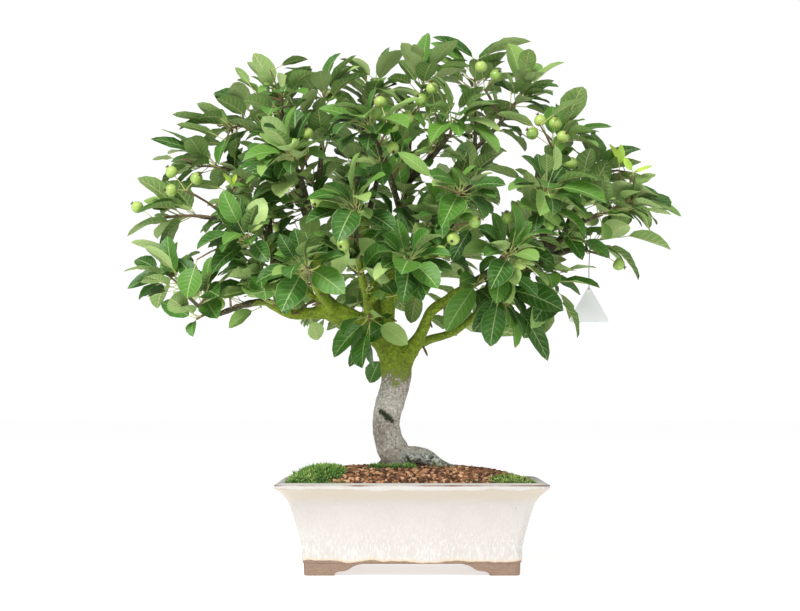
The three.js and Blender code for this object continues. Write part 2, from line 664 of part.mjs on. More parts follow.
function makeMoss(outline, soilBody, seed) {
  const draw = seeded(seed);
  const xs = outline.map(([x]) => x);
  const ys = outline.map(([, y]) => y);
  const columns = Math.ceil((Math.max(...xs) - Math.min(...xs)) / MOSS_CELL);
  const rows = Math.ceil((Math.max(...ys) - Math.min(...ys)) / MOSS_CELL);
  const tufts = reliefBlock(
    Math.min(...xs), Math.min(...ys), columns, rows, MOSS_CELL, SOIL_EDGE - 20,
    (x, y) => soilHeight(x, y) + MOSS_HEIGHT + draw(-MOSS_TUFT, MOSS_TUFT),
  );
  const shape = new THREE.Shape(outline.map(([x, y]) => new THREE.Vector2(x, y)));
  const patch = solid(new THREE.ExtrudeGeometry(shape, { depth: POT_HEIGHT + 60, bevelEnabled: false }));
  const raised = soilBody.translate([0, 0, SEAT]);
  return tufts.intersect(patch).intersect(cavity).subtract(soilBody).subtract(raised);
}

// The tag's thread: once round the twig, then down and through the hole to a knot behind
const THREAD_PATH = [
  [262, -33.4, 484.2], [259.5, -37, 485.6], [258.6, -41.5, 484], [259.2, -43.6, 480],
  [261, -42.6, 475.6], [263.6, -38.4, 473.8], [265.4, -34.4, 475.6], [266.4, -33, 480],
  [266.8, -35.4, 484.4], [266.8, -40, 484.6], [266.4, -43.4, 480.6], [265.8, -43, 474],
  [265.4, -40.6, 467], [265.2, -38.8, 459], [265, -38, 450], [265, -37.9, 441],
  [265, -37.9, 432], [265, -37.9, 424], [265, -37.6, 420.6], [265, -36, 418.9], [265, -34.2, 418.6],
];

// Every twig and stalk is laid first, bowed until it is clear of those before it.
const taken = [];
const NOTHING = new wasm.Manifold(new wasm.Mesh({
  numProp: 3, vertProperties: new Float32Array(), triVerts: new Uint32Array(),
}));

function clearTwig(tip, startRadius, endRadius, make) {
  const root = freeRoot(tip);
  const lift = UP.clone().multiplyScalar(root.distanceTo(tip) * TWIG_RISE);
  for (let attempt = 0; attempt < TWIG_ATTEMPTS; attempt += 1) {
    const turn = attempt * GOLDEN_ANGLE;
    const bow = new THREE.Vector3(Math.cos(turn), Math.sin(turn), 0);
    const curve = twigCurve(root, tip, bow.multiplyScalar(attempt * TWIG_BOW_STEP).add(lift));
    const fruit = make(curve);
    const whole = fused([twigWood(curve, 2, startRadius, endRadius, 3), ...fruit]);
    const share = largest(whole.subtract(trunkRoom)).volume() / whole.volume();
    if (share > TWIG_MIN_SHARE && clear(whole, taken) && clear(fused([...fruit, NOTHING]), [trunkRoom])) {
      usedRoots.push(root);
      return { whole, curve };
    }
  }
  return null;
}

function appleProfile() {
  const r = APPLE_RADIUS;
  return [
    [0, -1.12 * r], [0.3 * r, -1.02 * r], [0.86 * r, -0.56 * r], [r, 0.12 * r],
    [0.64 * r, 0.8 * r], [0, 0.88 * r],
  ].map(([x, y]) => new THREE.Vector2(x, y));
}

const appleSolid = new THREE.LatheGeometry(appleProfile(), 6).rotateX(Math.PI / 2);

function apple(middle, stalkRoot) {
  const away = stalkRoot.clone().sub(middle).normalize();
  const shape = appleSolid.clone();
  shape.applyQuaternion(new THREE.Quaternion().setFromUnitVectors(UP, away));
  shape.translate(middle.x, middle.y, middle.z);
  const top = middle.clone().addScaledVector(away, APPLE_RADIUS * 0.5);
  const curve = twigCurve(stalkRoot, top, UP.clone().multiplyScalar(2.5));
  return [solid(shape), twigWood(curve, 1, STALK_RADIUS, STALK_RADIUS, 3)];
}

const threadLine = THREAD_PATH.map(([x, y, z]) => [x, y, z, THREAD_RADIUS]);
const thread = wood(threadLine, 6);
const tagShape = new THREE.Shape();
const tagHeight = (TAG_SIDE * Math.sqrt(3)) / 2;
const tagCorners = [[0, 0], [-TAG_SIDE / 2, -tagHeight], [TAG_SIDE / 2, -tagHeight]];
tagCorners.forEach(([x, y], i) => {
  const before = tagCorners[(i + 2) % 3];
  const after = tagCorners[(i + 1) % 3];
  const cut = TAG_CORNER / Math.tan(Math.PI / 6) / TAG_SIDE;
  const [inX, inY] = [x + (before[0] - x) * cut, y + (before[1] - y) * cut];
  const [outX, outY] = [x + (after[0] - x) * cut, y + (after[1] - y) * cut];
  if (i === 0) tagShape.moveTo(inX, inY);
  else tagShape.lineTo(inX, inY);
  tagShape.quadraticCurveTo(x, y, outX, outY);
});
tagShape.closePath();
const tagHole = new THREE.Path();
tagHole.absarc(0, -TAG_HOLE_DROP, TAG_HOLE_RADIUS, 0, 2 * Math.PI, true);
tagShape.holes.push(tagHole);
const tagGeometry = new THREE.ExtrudeGeometry(tagShape, {
  depth: TAG_THICK, bevelEnabled: false, curveSegments: 3,
});
tagGeometry.rotateX(Math.PI / 2);
tagGeometry.translate(TAG_HOLE.x, TAG_HOLE.y + TAG_THICK / 2, TAG_HOLE.z + TAG_HOLE_DROP);
const tag = solid(tagGeometry);

taken.push(thread, tag);

const sprays = SPRAY_TIPS.map((tip, index) => {
  const twig = clearTwig(new THREE.Vector3(...tip), TWIG_RADIUS, TWIG_TIP_RADIUS, () => []);
  taken.push(twig.whole);
  const draw = seeded(4000 + index);
  return { ...twig, seed: index + 1, turn: draw(0, 2 * Math.PI) };
});

const bunches = BUNCHES.map(({ spur, apples }) => {
  const end = new THREE.Vector3(...spur);
  const middles = apples.map((middle) => new THREE.Vector3(...middle));
  const bunch = clearTwig(end, SPUR_RADIUS, SPUR_TIP_RADIUS, () => (
    middles.flatMap((middle) => apple(middle, end))
  ));
  taken.push(bunch.whole);
  return bunch;
});

// Then the leaves, each in the first pose that is clear of all else
sprays.forEach((spray) => {
  const others = [trunkRoom, ...taken.filter((body) => body !== spray.whole)];
  const room = [];
  const leaves = [];
  for (let place = 0; place < LEAVES_ON_SPRAY; place += 1) {
    for (let attempt = 0; attempt < LEAF_ATTEMPTS && leaves.length === place; attempt += 1) {
      const pose = leafPose(spray, place, attempt);
      const blade = leafSolid(pose, LEAF_CLEARANCE, 0.15);
      if (clear(blade, room) && clear(leafSolid(pose, LEAF_CLEARANCE, 0.08), others)) {
        room.push(blade);
        leaves.push(leafSolid(pose));
      }
    }
  }
  const dressed = largest(fused([spray.whole, ...leaves]).subtract(trunkRoom));
  taken.splice(taken.indexOf(spray.whole), 1, dressed);
  spray.whole = dressed;
});

function numbered(name, index) {
  return `${name}_${String(index + 1).padStart(2, '0')}`;
}

const soil = makeSoil();
node('pot', largest(makePot()), GLAZE);
node('drain_screen_left', makeScreen(-DRAIN_OFFSET), SCREEN);
node('drain_screen_right', makeScreen(DRAIN_OFFSET), SCREEN);
node('soil', largest(soil), SOIL);
node('moss_left', largest(makeMoss(MOSS_LEFT, soil, 31)), MOSS);
node('moss_right', largest(makeMoss(MOSS_RIGHT, soil, 32)), MOSS);
node('trunk', largest(trunk, BARK_SLIVER), BARK);
sprays.forEach((spray, index) => node(numbered('leaf_spray', index), spray.whole, LEAF));
bunches.forEach((bunch, index) => {
  node(numbered('fruit_bunch', index), largest(bunch.whole.subtract(trunkRoom)), FRUIT);
});
const box = new THREE.Box3().setFromObject(group);
node('name_tag', tag, CARD);
node('tag_thread', thread, THREAD);

const middle = box.getCenter(new THREE.Vector3());
group.children.forEach((mesh) => mesh.geometry.translate(-middle.x, -middle.y, 0));

export default group;
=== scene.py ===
# %% [markdown]
# # An apple bonsai, dressed in Blender
# A crab apple has been trained for years into a small tree: a grey trunk that turns green
# where it forks, sprays of leaves on short spurs, and green fruit the size of a marble. It
# stands in a cream glazed pot on four clay feet. The solids give every size and place. Here
# they get real bark, leaves, fruit, moss, soil and glaze.

# %% Load the solids
import math

import bmesh
import bpy
import numpy as np
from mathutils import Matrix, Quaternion, Vector
from mathutils.bvhtree import BVHTree
from mathutils.kdtree import KDTree


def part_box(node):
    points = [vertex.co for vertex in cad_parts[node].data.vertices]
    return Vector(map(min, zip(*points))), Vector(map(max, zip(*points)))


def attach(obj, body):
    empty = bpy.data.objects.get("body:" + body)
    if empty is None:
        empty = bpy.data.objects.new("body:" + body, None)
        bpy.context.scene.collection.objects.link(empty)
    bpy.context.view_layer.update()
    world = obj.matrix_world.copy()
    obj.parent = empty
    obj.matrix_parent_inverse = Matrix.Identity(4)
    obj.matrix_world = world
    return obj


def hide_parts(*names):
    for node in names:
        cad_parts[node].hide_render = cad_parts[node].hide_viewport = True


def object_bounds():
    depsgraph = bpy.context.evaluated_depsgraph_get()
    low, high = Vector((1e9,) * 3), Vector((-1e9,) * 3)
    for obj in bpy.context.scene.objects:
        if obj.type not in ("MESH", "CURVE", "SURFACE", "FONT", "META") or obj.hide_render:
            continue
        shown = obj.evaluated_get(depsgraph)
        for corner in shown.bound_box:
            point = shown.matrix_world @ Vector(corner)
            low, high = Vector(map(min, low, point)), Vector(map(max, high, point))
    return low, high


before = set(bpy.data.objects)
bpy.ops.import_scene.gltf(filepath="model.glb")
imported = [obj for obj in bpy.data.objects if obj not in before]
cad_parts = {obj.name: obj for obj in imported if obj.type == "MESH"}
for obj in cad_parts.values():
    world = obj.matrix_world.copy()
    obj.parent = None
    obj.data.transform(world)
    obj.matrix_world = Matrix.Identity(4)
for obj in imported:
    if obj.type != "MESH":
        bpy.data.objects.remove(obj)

CAD_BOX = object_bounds()
MM = 0.001
pot_low, pot_high = (Vector(corner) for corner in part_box("pot"))
POT_MIDDLE = Vector(((pot_low.x + pot_high.x) / 2, (pot_low.y + pot_high.y) / 2, 0))


def at(x, y, z):
    """A point of the plans, in millimetres from the middle of the pot, as a point of the scene."""
    return Vector((x, y, z)) * MM + POT_MIDDLE


print(len(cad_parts), "solids, the pot stands at", [round(v, 4) for v in POT_MIDDLE])

# %% [markdown]
# ## Camera
# The tree was photographed from over three metres away with a long lens, a little above the
# pot's rim, and the camera looks up by just over two degrees. A long lens keeps the pot's sides
# nearly parallel.

# %% Camera
EYE = np.array((-17.4, -3350, 263))
LOOK_UP, LENS, SENSOR = 2.31, 99.86, 36
scene = bpy.context.scene
camera_data = bpy.data.cameras.new("photo_camera")
camera_data.lens = LENS
camera_data.sensor_width = SENSOR
camera = bpy.data.objects.new("photo_camera", camera_data)
scene.collection.objects.link(camera)
camera.location = at(*EYE)
camera.rotation_euler = (math.radians(90 + LOOK_UP), 0, 0)
scene.camera = camera
print("camera at", [round(v, 3) for v in camera.location])

# %% [markdown]
# ## Tools for meshes
# Blender's own tools work on what is selected, so the first helpers pick one piece, open it and
# close it again. Leaves, grains and tufts are far too many to be pieces of their own: many small
# parts are gathered into one mesh. Round wood, petioles and the thread are all a row of rings
# along a line, so one function sweeps them.

# %% Tools for one piece
def picked(piece=None):
    """Only this piece is selected, or nothing, and no mesh is being edited."""
    if bpy.context.object and bpy.context.object.mode != "OBJECT":
        bpy.ops.object.mode_set(mode="OBJECT")
    bpy.ops.object.select_all(action="DESELECT")
    if piece:
        piece.select_set(True)
        bpy.context.view_layer.objects.active = piece


def edit_all():
    """Opens the active mesh with all of it selected."""
    bpy.ops.object.mode_set(mode="EDIT")
    bpy.ops.mesh.select_all(action="SELECT")


def close_up():
    """Turns all faces outwards and leaves the mesh."""
    bpy.ops.mesh.select_all(action="SELECT")
    bpy.ops.mesh.normals_make_consistent(inside=False)
    bpy.ops.object.mode_set(mode="OBJECT")


def smooth_to(angle):
    """Shades the active piece smooth, but for edges sharper than an angle."""
    bpy.ops.object.shade_smooth_by_angle(angle=math.radians(angle))


def shown(name, mesh, sharp):
    """Links a mesh as a piece of the tree, shaded smooth up to an angle."""
    piece = bpy.data.objects.new(name, mesh)
    scene.collection.objects.link(piece)
    picked(piece)
    smooth_to(sharp)
    return piece


def shape_of(piece):
    """A modelled piece's points and faces. The piece itself is thrown away."""
    points = np.array([tuple(vertex.co) for vertex in piece.data.vertices])
    faces = [tuple(polygon.vertices) for polygon in piece.data.polygons]
    bpy.data.objects.remove(piece)
    return points, faces


def open_edges(piece):
    """How many edges of a piece have other than two faces: none on a closed one."""
    check = bmesh.new()
    check.from_mesh(piece.data)
    count = sum(not edge.is_manifold for edge in check.edges)
    check.free()
    return count


def report(piece):
    print(piece.name, len(piece.data.polygons), "faces,", open_edges(piece), "open edges")


def belongs(piece, solid=None):
    """A piece rides with the tree, and may take a solid's place."""
    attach(piece, "root")
    if solid:
        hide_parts(solid)


def modify(piece, kind, **settings):
    """Adds a modifier, and applies it at once."""
    picked(piece)
    modifier = piece.modifiers.new(kind.title(), kind)
    for name, value in settings.items():
        setattr(modifier, name, value)
    bpy.ops.object.modifier_apply(modifier=modifier.name)


# %% Chance and turns
FULL_TURN = 6.28
GOLDEN_ANGLE = math.pi * (3 - math.sqrt(5))


def seeded(seed):
    """Chance that comes out the same each time: the same rule as the one that laid out the solids."""
    modulus = 2147483647
    state = [(seed * 7919 + 104729) % modulus]

    def draw(low, high):
        state[0] = state[0] * 16807 % modulus
        return low + (high - low) * state[0] / modulus

    draw(0, 1)
    draw(0, 1)
    return draw


def unit(v):
    return v / np.linalg.norm(v)


def level(turn):
    """A level direction, by its turn from the X axis."""
    return np.array((math.cos(turn), math.sin(turn), 0))


def rotation(axis, angle):
    return np.array(Quaternion(axis, angle).to_matrix())


# %% Many parts in one mesh
SMOOTH_UP_TO = 60
SHIFT = np.array(POT_MIDDLE)


class Gathered:
    """Many small parts that become one mesh: points, faces, UVs, a tone and a material for each."""

    def __init__(self):
        self.points, self.faces, self.uvs, self.tones, self.slots = [], [], [], [], []
        self.count = 0

    def add(self, points, faces, uvs, tone=0.5, slot=0):
        self.points.append(np.asarray(points, dtype=float))
        self.faces.extend(tuple(i + self.count for i in face) for face in faces)
        self.uvs.append(np.asarray(uvs, dtype=float))
        self.tones.append(np.full(len(points), tone))
        self.slots.extend(slot if hasattr(slot, "__len__") else [slot] * len(faces))
        self.count += len(points)

    def piece(self, name, materials, sharp=SMOOTH_UP_TO):
        """The mesh object, in metres, from points in millimetres round the pot."""
        points = np.concatenate(self.points) * MM + SHIFT
        mesh = bpy.data.meshes.new(name)
        mesh.from_pydata(points.tolist(), [], self.faces)
        mesh.polygons.foreach_set("material_index", self.slots)
        uvs = np.concatenate(self.uvs)
        corners = np.empty(len(mesh.loops), dtype=int)
        mesh.loops.foreach_get("vertex_index", corners)
        layer = mesh.uv_layers.new(name="UVMap")
        layer.data.foreach_set("uv", uvs[corners].ravel())
        tone = mesh.attributes.new("tone", "FLOAT", "POINT")
        tone.data.foreach_set("value", np.concatenate(self.tones))
        for material in materials:
            mesh.materials.append(material)
        return shown(name, mesh, sharp)


# %% Tubes
UP = np.array((0.0, 0.0, 1.0))
ACROSS = np.array((1.0, 0.0, 0.0))


def crossings(path):
    """At each point of a line: its direction, and two square to it that don't twist along it."""
    result, side = [], None
    for i in range(len(path)):
        along = unit(path[min(i + 1, len(path) - 1)] - path[max(i - 1, 0)])
        if side is None:
            side = UP if abs(along[2]) < 0.9 else ACROSS
        side = unit(side - along * side.dot(along))
        result.append((along, side, np.cross(along, side)))
    return result


def sweep(path, radii, sides):
    """Points, faces and UVs of a closed tube: u runs round it, v along it in millimetres."""
    path = np.asarray(path, dtype=float)
    turns = np.arange(sides) * 2 * math.pi / sides
    rings, uvs, v = [], [], 0.0
    for i, (_, side, lift) in enumerate(crossings(path)):
        if i:
            v += np.linalg.norm(path[i] - path[i - 1])
        ring = np.outer(np.cos(turns), side) + np.outer(np.sin(turns), lift)
        rings.append(path[i] + ring * radii[i])
        uvs.append(np.stack((turns / (2 * math.pi), np.full(sides, v)), axis=1))
    faces = []
    for i in range(len(path) - 1):
        for j in range(sides):
            a, b = i * sides + j, i * sides + (j + 1) % sides
            faces.append((a, b, b + sides, a + sides))
    last = (len(path) - 1) * sides
    faces.append(tuple(range(sides - 1, -1, -1)))
    faces.append(tuple(range(last, last + sides)))
    return np.concatenate(rings), faces, np.concatenate(uvs)


print("tools ready")

# %% [markdown]
# ## Materials
# Every finish is a chain of nodes that ends in one Principled shader. Long chains are hard to
# read, so an output of a node is wrapped here in a Value: plain arithmetic on it makes the Math
# nodes. A colour is painted in layers: a ground first, then thin veils of other colours over it,
# each through a mask. Patterns are read from Object coordinates, moved so that they count from
# the middle of the pot, or from a piece's own UVs.

# %% Values and nodes
def colour(red, green, blue):
    """A colour as it is picked from a paint chart, turned into the light that Blender counts in."""
    def linear(c):
        c /= 255
        return c / 12.92 if c <= 0.04045 else ((c + 0.055) / 1.055) ** 2.4
    return (linear(red), linear(green), linear(blue), 1.0)


class Value:
    """An output inside a node tree. Arithmetic on it makes the nodes that count it out."""

    def __init__(self, tree, socket):
        self.tree, self.socket = tree, socket

    def math(self, operation, *others, clamp=False):
        return counted(self.tree, operation, (self, *others), clamp)

    def __add__(self, other):
        return self.math("ADD", other)

    def __sub__(self, other):
        return self.math("SUBTRACT", other)

    def __rsub__(self, other):
        return counted(self.tree, "SUBTRACT", (other, self))

    def __mul__(self, other):
        return self.math("MULTIPLY", other)

    def __truediv__(self, other):
        return self.math("DIVIDE", other)

    def __pow__(self, other):
        return self.math("POWER", other)

    def __abs__(self):
        return self.math("ABSOLUTE")

    def rise(self, low, high):
        """0 below low, 1 above high, smooth between them."""
        return output(self.tree, "Result", "ShaderNodeMapRange", {"interpolation_type": "SMOOTHSTEP"},
                      Value=self, From_Min=low, From_Max=high)

    def fall(self, low, high):
        """1 below low, 0 above high."""
        return 1.0 - self.rise(low, high)

    def axis(self, name):
        return output(self.tree, name, "ShaderNodeSeparateXYZ", Vector=self)


def feed(tree, socket, value):
    """Puts a value on a socket: an output is linked, a plain value is set."""
    if isinstance(value, Value):
        tree.links.new(value.socket, socket)
    else:
        socket.default_value = value


def put(tree, kind, settings=None, **values):
    """Adds a node, with its settings, and with plain values or outputs on its inputs."""
    node = tree.nodes.new(kind)
    for name, value in (settings or {}).items():
        setattr(node, name, value)
    for name, value in values.items():
        feed(tree, node.inputs[name.replace("_", " ")], value)
    return node


def output(tree, name, kind, settings=None, **values):
    """Adds a node and gives one of its outputs."""
    return Value(tree, put(tree, kind, settings, **values).outputs[name])


def counted(tree, operation, values, clamp=False):
    """One step of arithmetic."""
    node = put(tree, "ShaderNodeMath", {"operation": operation, "use_clamp": clamp})
    for socket, value in zip(node.inputs, values):
        feed(tree, socket, value)
    return Value(tree, node.outputs[0])


def mix(share, first, second):
    """The second colour over the first, by a share from 0 to 1. Each is a Value, or red, green, blue."""
    node = put(share.tree, "ShaderNodeMix", {"data_type": "RGBA"})
    first, second = (shade if isinstance(shade, Value) else colour(*shade) for shade in (first, second))
    for socket, value in ((0, share), (6, first), (7, second)):
        feed(share.tree, node.inputs[socket], value)
    return Value(share.tree, node.outputs[2])


def layered(body, *veils):
    """A colour with veils of other colours over it, each a mask and a shade."""
    for mask, shade in veils:
        body = mix(mask, body, shade)
    return body


# %% Node groups
def new_group(name, inputs, outputs):
    """A node group whose outputs are values from 0 to 1, with its inputs as Values."""
    group = bpy.data.node_groups.new(name, "ShaderNodeTree")
    for label, kind in inputs.items():
        group.interface.new_socket(label, in_out="INPUT", socket_type="NodeSocket" + kind)
    for label in outputs:
        group.interface.new_socket(label, in_out="OUTPUT", socket_type="NodeSocketFloat")
    given = put(group, "NodeGroupInput").outputs
    return group, [Value(group, given[label]) for label in inputs]


def flecks_group():
    """Scattered small spots of chance size, used on bark, glaze, fruit and clay."""
    kinds = {"Vector": "Vector", "Scale": "Float", "Size": "Float"}
    group, (vector, scale, size) = new_group("flecks", kinds, ["Mask"])
    cells = put(group, "ShaderNodeTexVoronoi", Vector=vector, Scale=scale)
    chance = output(group, 0, "ShaderNodeSeparateColor", Color=Value(group, cells.outputs["Color"]))
    edge = size * chance ** 3.0 - Value(group, cells.outputs["Distance"])
    put(group, "NodeGroupOutput", Mask=edge.math("MULTIPLY", 12.0, clamp=True))
    return group


FLECKS = flecks_group()


# %% Tools for a finish
NOISE_ROUGHNESS = 0.55


class Finish:
    """A material while it is made: its node tree, its shader, and the patterns it can use."""

    def __init__(self, name, roughness=0.5, **values):
        self.material = bpy.data.materials.new(name)
        self.material.use_nodes = True
        self.tree = self.material.node_tree
        self.shader = self.tree.nodes["Principled BSDF"]
        self.spots = {}
        self.give(Roughness=roughness, **values)

    def give(self, **values):
        """Sets or links inputs of the shader."""
        for name, value in values.items():
            feed(self.tree, self.shader.inputs[name.replace("_", " ")], value)

    def output(self, name, kind, settings=None, **values):
        return output(self.tree, name, kind, settings, **values)

    def where(self, stretch=(1, 1, 1)):
        """Object coordinates, counted from the middle of the pot, and stretched."""
        if stretch not in self.spots:
            spot = self.output("Object", "ShaderNodeTexCoord")
            shift = [-middle * factor for middle, factor in zip(POT_MIDDLE, stretch)]
            moved = self.output("Vector", "ShaderNodeMapping", {"vector_type": "POINT"},
                                Vector=spot, Location=shift, Scale=stretch)
            self.spots[stretch] = moved
        return self.spots[stretch]

    def uv(self):
        return self.output("UV", "ShaderNodeUVMap", {"uv_map": "UVMap"})

    def tone(self):
        """The tone that each small part was given by chance."""
        return self.output("Fac", "ShaderNodeAttribute", {"attribute_name": "tone"})

    def noise(self, scale, detail=3.0, stretch=(1, 1, 1)):
        return self.output("Fac", "ShaderNodeTexNoise", Vector=self.where(stretch), Scale=scale,
                           Detail=detail, Roughness=NOISE_ROUGHNESS)

    def net(self, scale, width):
        """The lines between the cells of a net."""
        far = self.output("Distance", "ShaderNodeTexVoronoi", {"feature": "DISTANCE_TO_EDGE"},
                          Vector=self.where(), Scale=scale)
        return 1.0 - far.rise(0.0, width)

    def flecks(self, scale, size):
        return self.output("Mask", "ShaderNodeGroup", {"node_tree": FLECKS},
                           Vector=self.where(), Scale=scale, Size=size)

    def far_from(self, place, slant=0, stretch=1):
        """Distance from a place, counted less along a slanting line than across it."""
        moved = self.output("Vector", "ShaderNodeMapping", {"vector_type": "TEXTURE"}, Vector=self.where(),
                            Location=[v * MM for v in place], Rotation=(0, math.radians(slant), 0),
                            Scale=(stretch, 1, 1))
        return self.output("Value", "ShaderNodeVectorMath", {"operation": "LENGTH"}, Vector=moved)

    def ramp(self, share, stops):
        """A colour that changes from stop to stop: each is a position, and red, green, blue."""
        node = put(self.tree, "ShaderNodeValToRGB", Fac=share)
        ends = node.color_ramp.elements
        for end, (position, shade) in zip(ends, (stops[0], stops[-1])):
            end.position, end.color = position, colour(*shade)
        for position, shade in stops[1:-1]:
            ends.new(position).color = colour(*shade)
        return Value(self.tree, node.outputs["Color"])

    def done(self, body, relief, strength, distance):
        """Gives the shader its colour and its relief, and hands over the material."""
        normal = self.output("Normal", "ShaderNodeBump", Strength=strength, Distance=distance, Height=relief)
        self.give(Base_Color=body, Normal=normal)
        return self.material


print("material tools ready")

# %% [markdown]
# ## The tag's thread
# The name tag hangs from a twig on a thin dark thread: once round the twig, straight down, and
# through the hole in the card. A cord has a fixed length, so its line is laid first and
# everything else is made round it. A curve that passes through every point of the route keeps
# the loop round.

# %% Thread material
def thread_finish():
    """Two plies wound round each other: u runs round the thread, v along it."""
    finish = Finish("thread", 0.8, Sheen_Weight=0.3)
    lay = finish.uv().axis("X") + finish.uv().axis("Y") * 0.55
    twist = (lay * (4 * math.pi)).math("SINE")
    # Painted shade and light of the plies: darker in the groove between them, paler on their crests.
    shade = mix(twist.rise(-1, 1), (52, 56, 50), (112, 116, 106))
    return finish.done(shade, twist, 0.6, 0.0002)


# %% Thread
THREAD_PATH = [
    (262, -33.4, 484.2), (259.5, -37, 485.6), (258.6, -41.5, 484), (259.2, -43.6, 480),
    (261, -42.6, 475.6), (263.6, -38.4, 473.8), (265.4, -34.4, 475.6), (266.4, -33, 480),
    (266.8, -35.4, 484.4), (266.8, -40, 484.6), (266.4, -43.4, 480.6), (265.8, -43, 474),
    (265.4, -40.6, 467), (265.2, -38.8, 459), (265, -38, 450), (265, -37.9, 441),
    (265, -37.9, 432), (265, -37.9, 424), (265, -37.6, 420.6), (265, -36, 418.9), (265, -34.2, 418.6),
]
THREAD_RADIUS = 0.6


def smooth_line(points, parts):
    """A curve through all the points, cut into equal parts between each two."""
    points = np.asarray(points, dtype=float)
    ends = np.vstack((2 * points[0] - points[1], points, 2 * points[-1] - points[-2]))
    line = [points[0]]
    for i in range(1, len(ends) - 2):
        p0, p1, p2, p3 = ends[i - 1:i + 3]
        for k in range(1, parts + 1):
            t = k / parts
            line.append(0.5 * (2 * p1 + (p2 - p0) * t + (2 * p0 - 5 * p1 + 4 * p2 - p3) * t * t
                               + (3 * p1 - p0 - 3 * p2 + p3) * t ** 3))
    return np.array(line)


thread_line = smooth_line(THREAD_PATH, 4)
strand = Gathered()
strand.add(*sweep(thread_line, [THREAD_RADIUS] * len(thread_line), 10))
tag_thread = strand.piece("hanging_thread", [thread_finish()])
belongs(tag_thread, "tag_thread")

# %% [markdown]
# ## The name tag
# A plain card of white plastic, a triangle with soft corners. Its solid has the right shape
# already, so it only gets its finish: an even white with faint scuffs, and no print.

# %% Name tag
def card_finish():
    finish = Finish("card", 0.42, Coat_Roughness=0.2)
    clouds = finish.noise(60, 4)
    finish.give(Roughness=finish.noise(900, 2, stretch=(1, 1, 0.15)) * 0.25 + 0.3)
    return finish.done(mix(clouds, (226, 229, 230), (236, 238, 238)), clouds, 0.1, 0.0003)


def finished(node, material):
    """Gives a solid that keeps its shape a finish of its own."""
    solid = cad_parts[node]
    solid.data.materials.clear()
    solid.data.materials.append(material)
    return solid


name_tag = finished("name_tag", card_finish())
print("thread tied to", name_tag.name)

# %% [markdown]
# ## The pot
# The bowl was pressed in a mould: a rectangle with rounded corners whose sides lean out, curl
# into a lip, and end in a flat rim. So it grows here from one plane: its corners are bevelled,
# and it is extruded up the outside, over the rim and down the inside, each ring given its size
# by the profile. Millimetres of height, and of inset from the rim's edge.

# %% Pot bowl
POT_LENGTH, POT_DEPTH, POT_CORNER = 400, 300, 12
CORNER_PARTS, POT_SHARP = 6, 50
BOWL_OUTSIDE = [
    (18, 41.4), (19.2, 40.4), (23, 39.2), (29, 38.6), (35, 39.3), (41, 39.0), (50, 36.8), (60, 34.1),
    (72, 31.0), (84, 27.9), (95, 24.5), (103, 21.7), (109, 18.7), (114, 15.2), (118, 11.5),
    (121.5, 7.7), (124.2, 4.5), (125.8, 2.7), (126.6, 1.4), (127.4, 0.5), (128.6, 0.05),
    (131.8, 0.0), (132.7, 0.5), (133.4, 1.9), (134.5, 4.2), (135.4, 6.4), (135.9, 8.6), (136, 11),
]
BOWL_INSIDE = [
    (135.8, 13.6), (135, 15.0), (133, 15.8), (128, 17.4), (122, 20.4), (113, 26.6), (98, 33), (84, 37.5),
    (60, 43.2), (30, 49),
]


def mould(name, length, depth, corner, profile):
    """A rounded rectangle that is extruded from ring to ring of a profile, in millimetres."""
    picked()
    height, inset = profile[0]
    half = [length / 2 - inset, depth / 2 - inset]
    middle = at(0, 0, height)
    bpy.ops.mesh.primitive_plane_add(size=1, location=middle)
    piece = bpy.context.object
    piece.name = name
    edit_all()
    bpy.ops.transform.resize(value=(2 * half[0] * MM, 2 * half[1] * MM, 1), center_override=middle)
    bpy.ops.mesh.bevel(offset=corner * MM, segments=CORNER_PARTS, affect="VERTICES")
    bpy.ops.mesh.select_all(action="SELECT")
    for next_height, inset in profile[1:]:
        rise = (0, 0, (next_height - height) * MM)
        bpy.ops.mesh.extrude_region_move(TRANSFORM_OT_translate={"value": rise})
        goal = [length / 2 - inset, depth / 2 - inset]
        ratio = (goal[0] / half[0], goal[1] / half[1], 1)
        bpy.ops.transform.resize(value=ratio, center_override=at(0, 0, next_height))
        height, half = next_height, goal
    close_up()
    bpy.ops.object.transform_apply(location=True, rotation=True, scale=True)
    smooth_to(POT_SHARP)
    return piece


pot = mould("pot_bowl", POT_LENGTH, POT_DEPTH, POT_CORNER, BOWL_OUTSIDE + BOWL_INSIDE)
report(pot)

# %% [markdown]
# The drain holes are cut through the floor, as the potter cut them, with two round cutters and
# a Boolean modifier.

# %% Drain holes
DRAIN_OFFSET, DRAIN_RADIUS, DRAIN_HEIGHT = 85, 14, 24


def cut(piece, cutter):
    modify(piece, "BOOLEAN", operation="DIFFERENCE", solver="EXACT", object=cutter)
    bpy.data.objects.remove(cutter)


for x in (-DRAIN_OFFSET, DRAIN_OFFSET):
    picked()
    bpy.ops.mesh.primitive_cylinder_add(
        radius=DRAIN_RADIUS * MM, depth=30 * MM, vertices=32, location=at(x, 0, DRAIN_HEIGHT))
    cut(pot, bpy.context.object)
report(pot)

# %% [markdown]
# ## The feet
# Under the bowl runs a low wall that is cut away in a bracket's curve on all four sides, so that
# four corner feet stay. The same cuts are made here: a block, hollowed, and cut through along
# both ways with a prism of the bracket's outline.

# %% Pot feet
FOOT_INSET, FOOT_CORNER, FOOT_THICK, FOOT_TOP = 41.5, 9, 15, 21
INNER_CORNER = 4.5
FOOT_SOLE_X, FOOT_SOLE_Y = 45, 32
FOOT_PROFILE = [(0, 2.2), (0.8, 1.2), (3, 0.9), (FOOT_TOP, 0)]
BRACKET = [
    (0, -2), (0, 0.3), (1.8, 3.2), (4.4, 5.2), (7.4, 6.2), (12, 6.6), (17, 7.3), (21, 8.9), (25, 11.6),
    (29, 14.0), (34, 15.8), (41, 17.2),
]


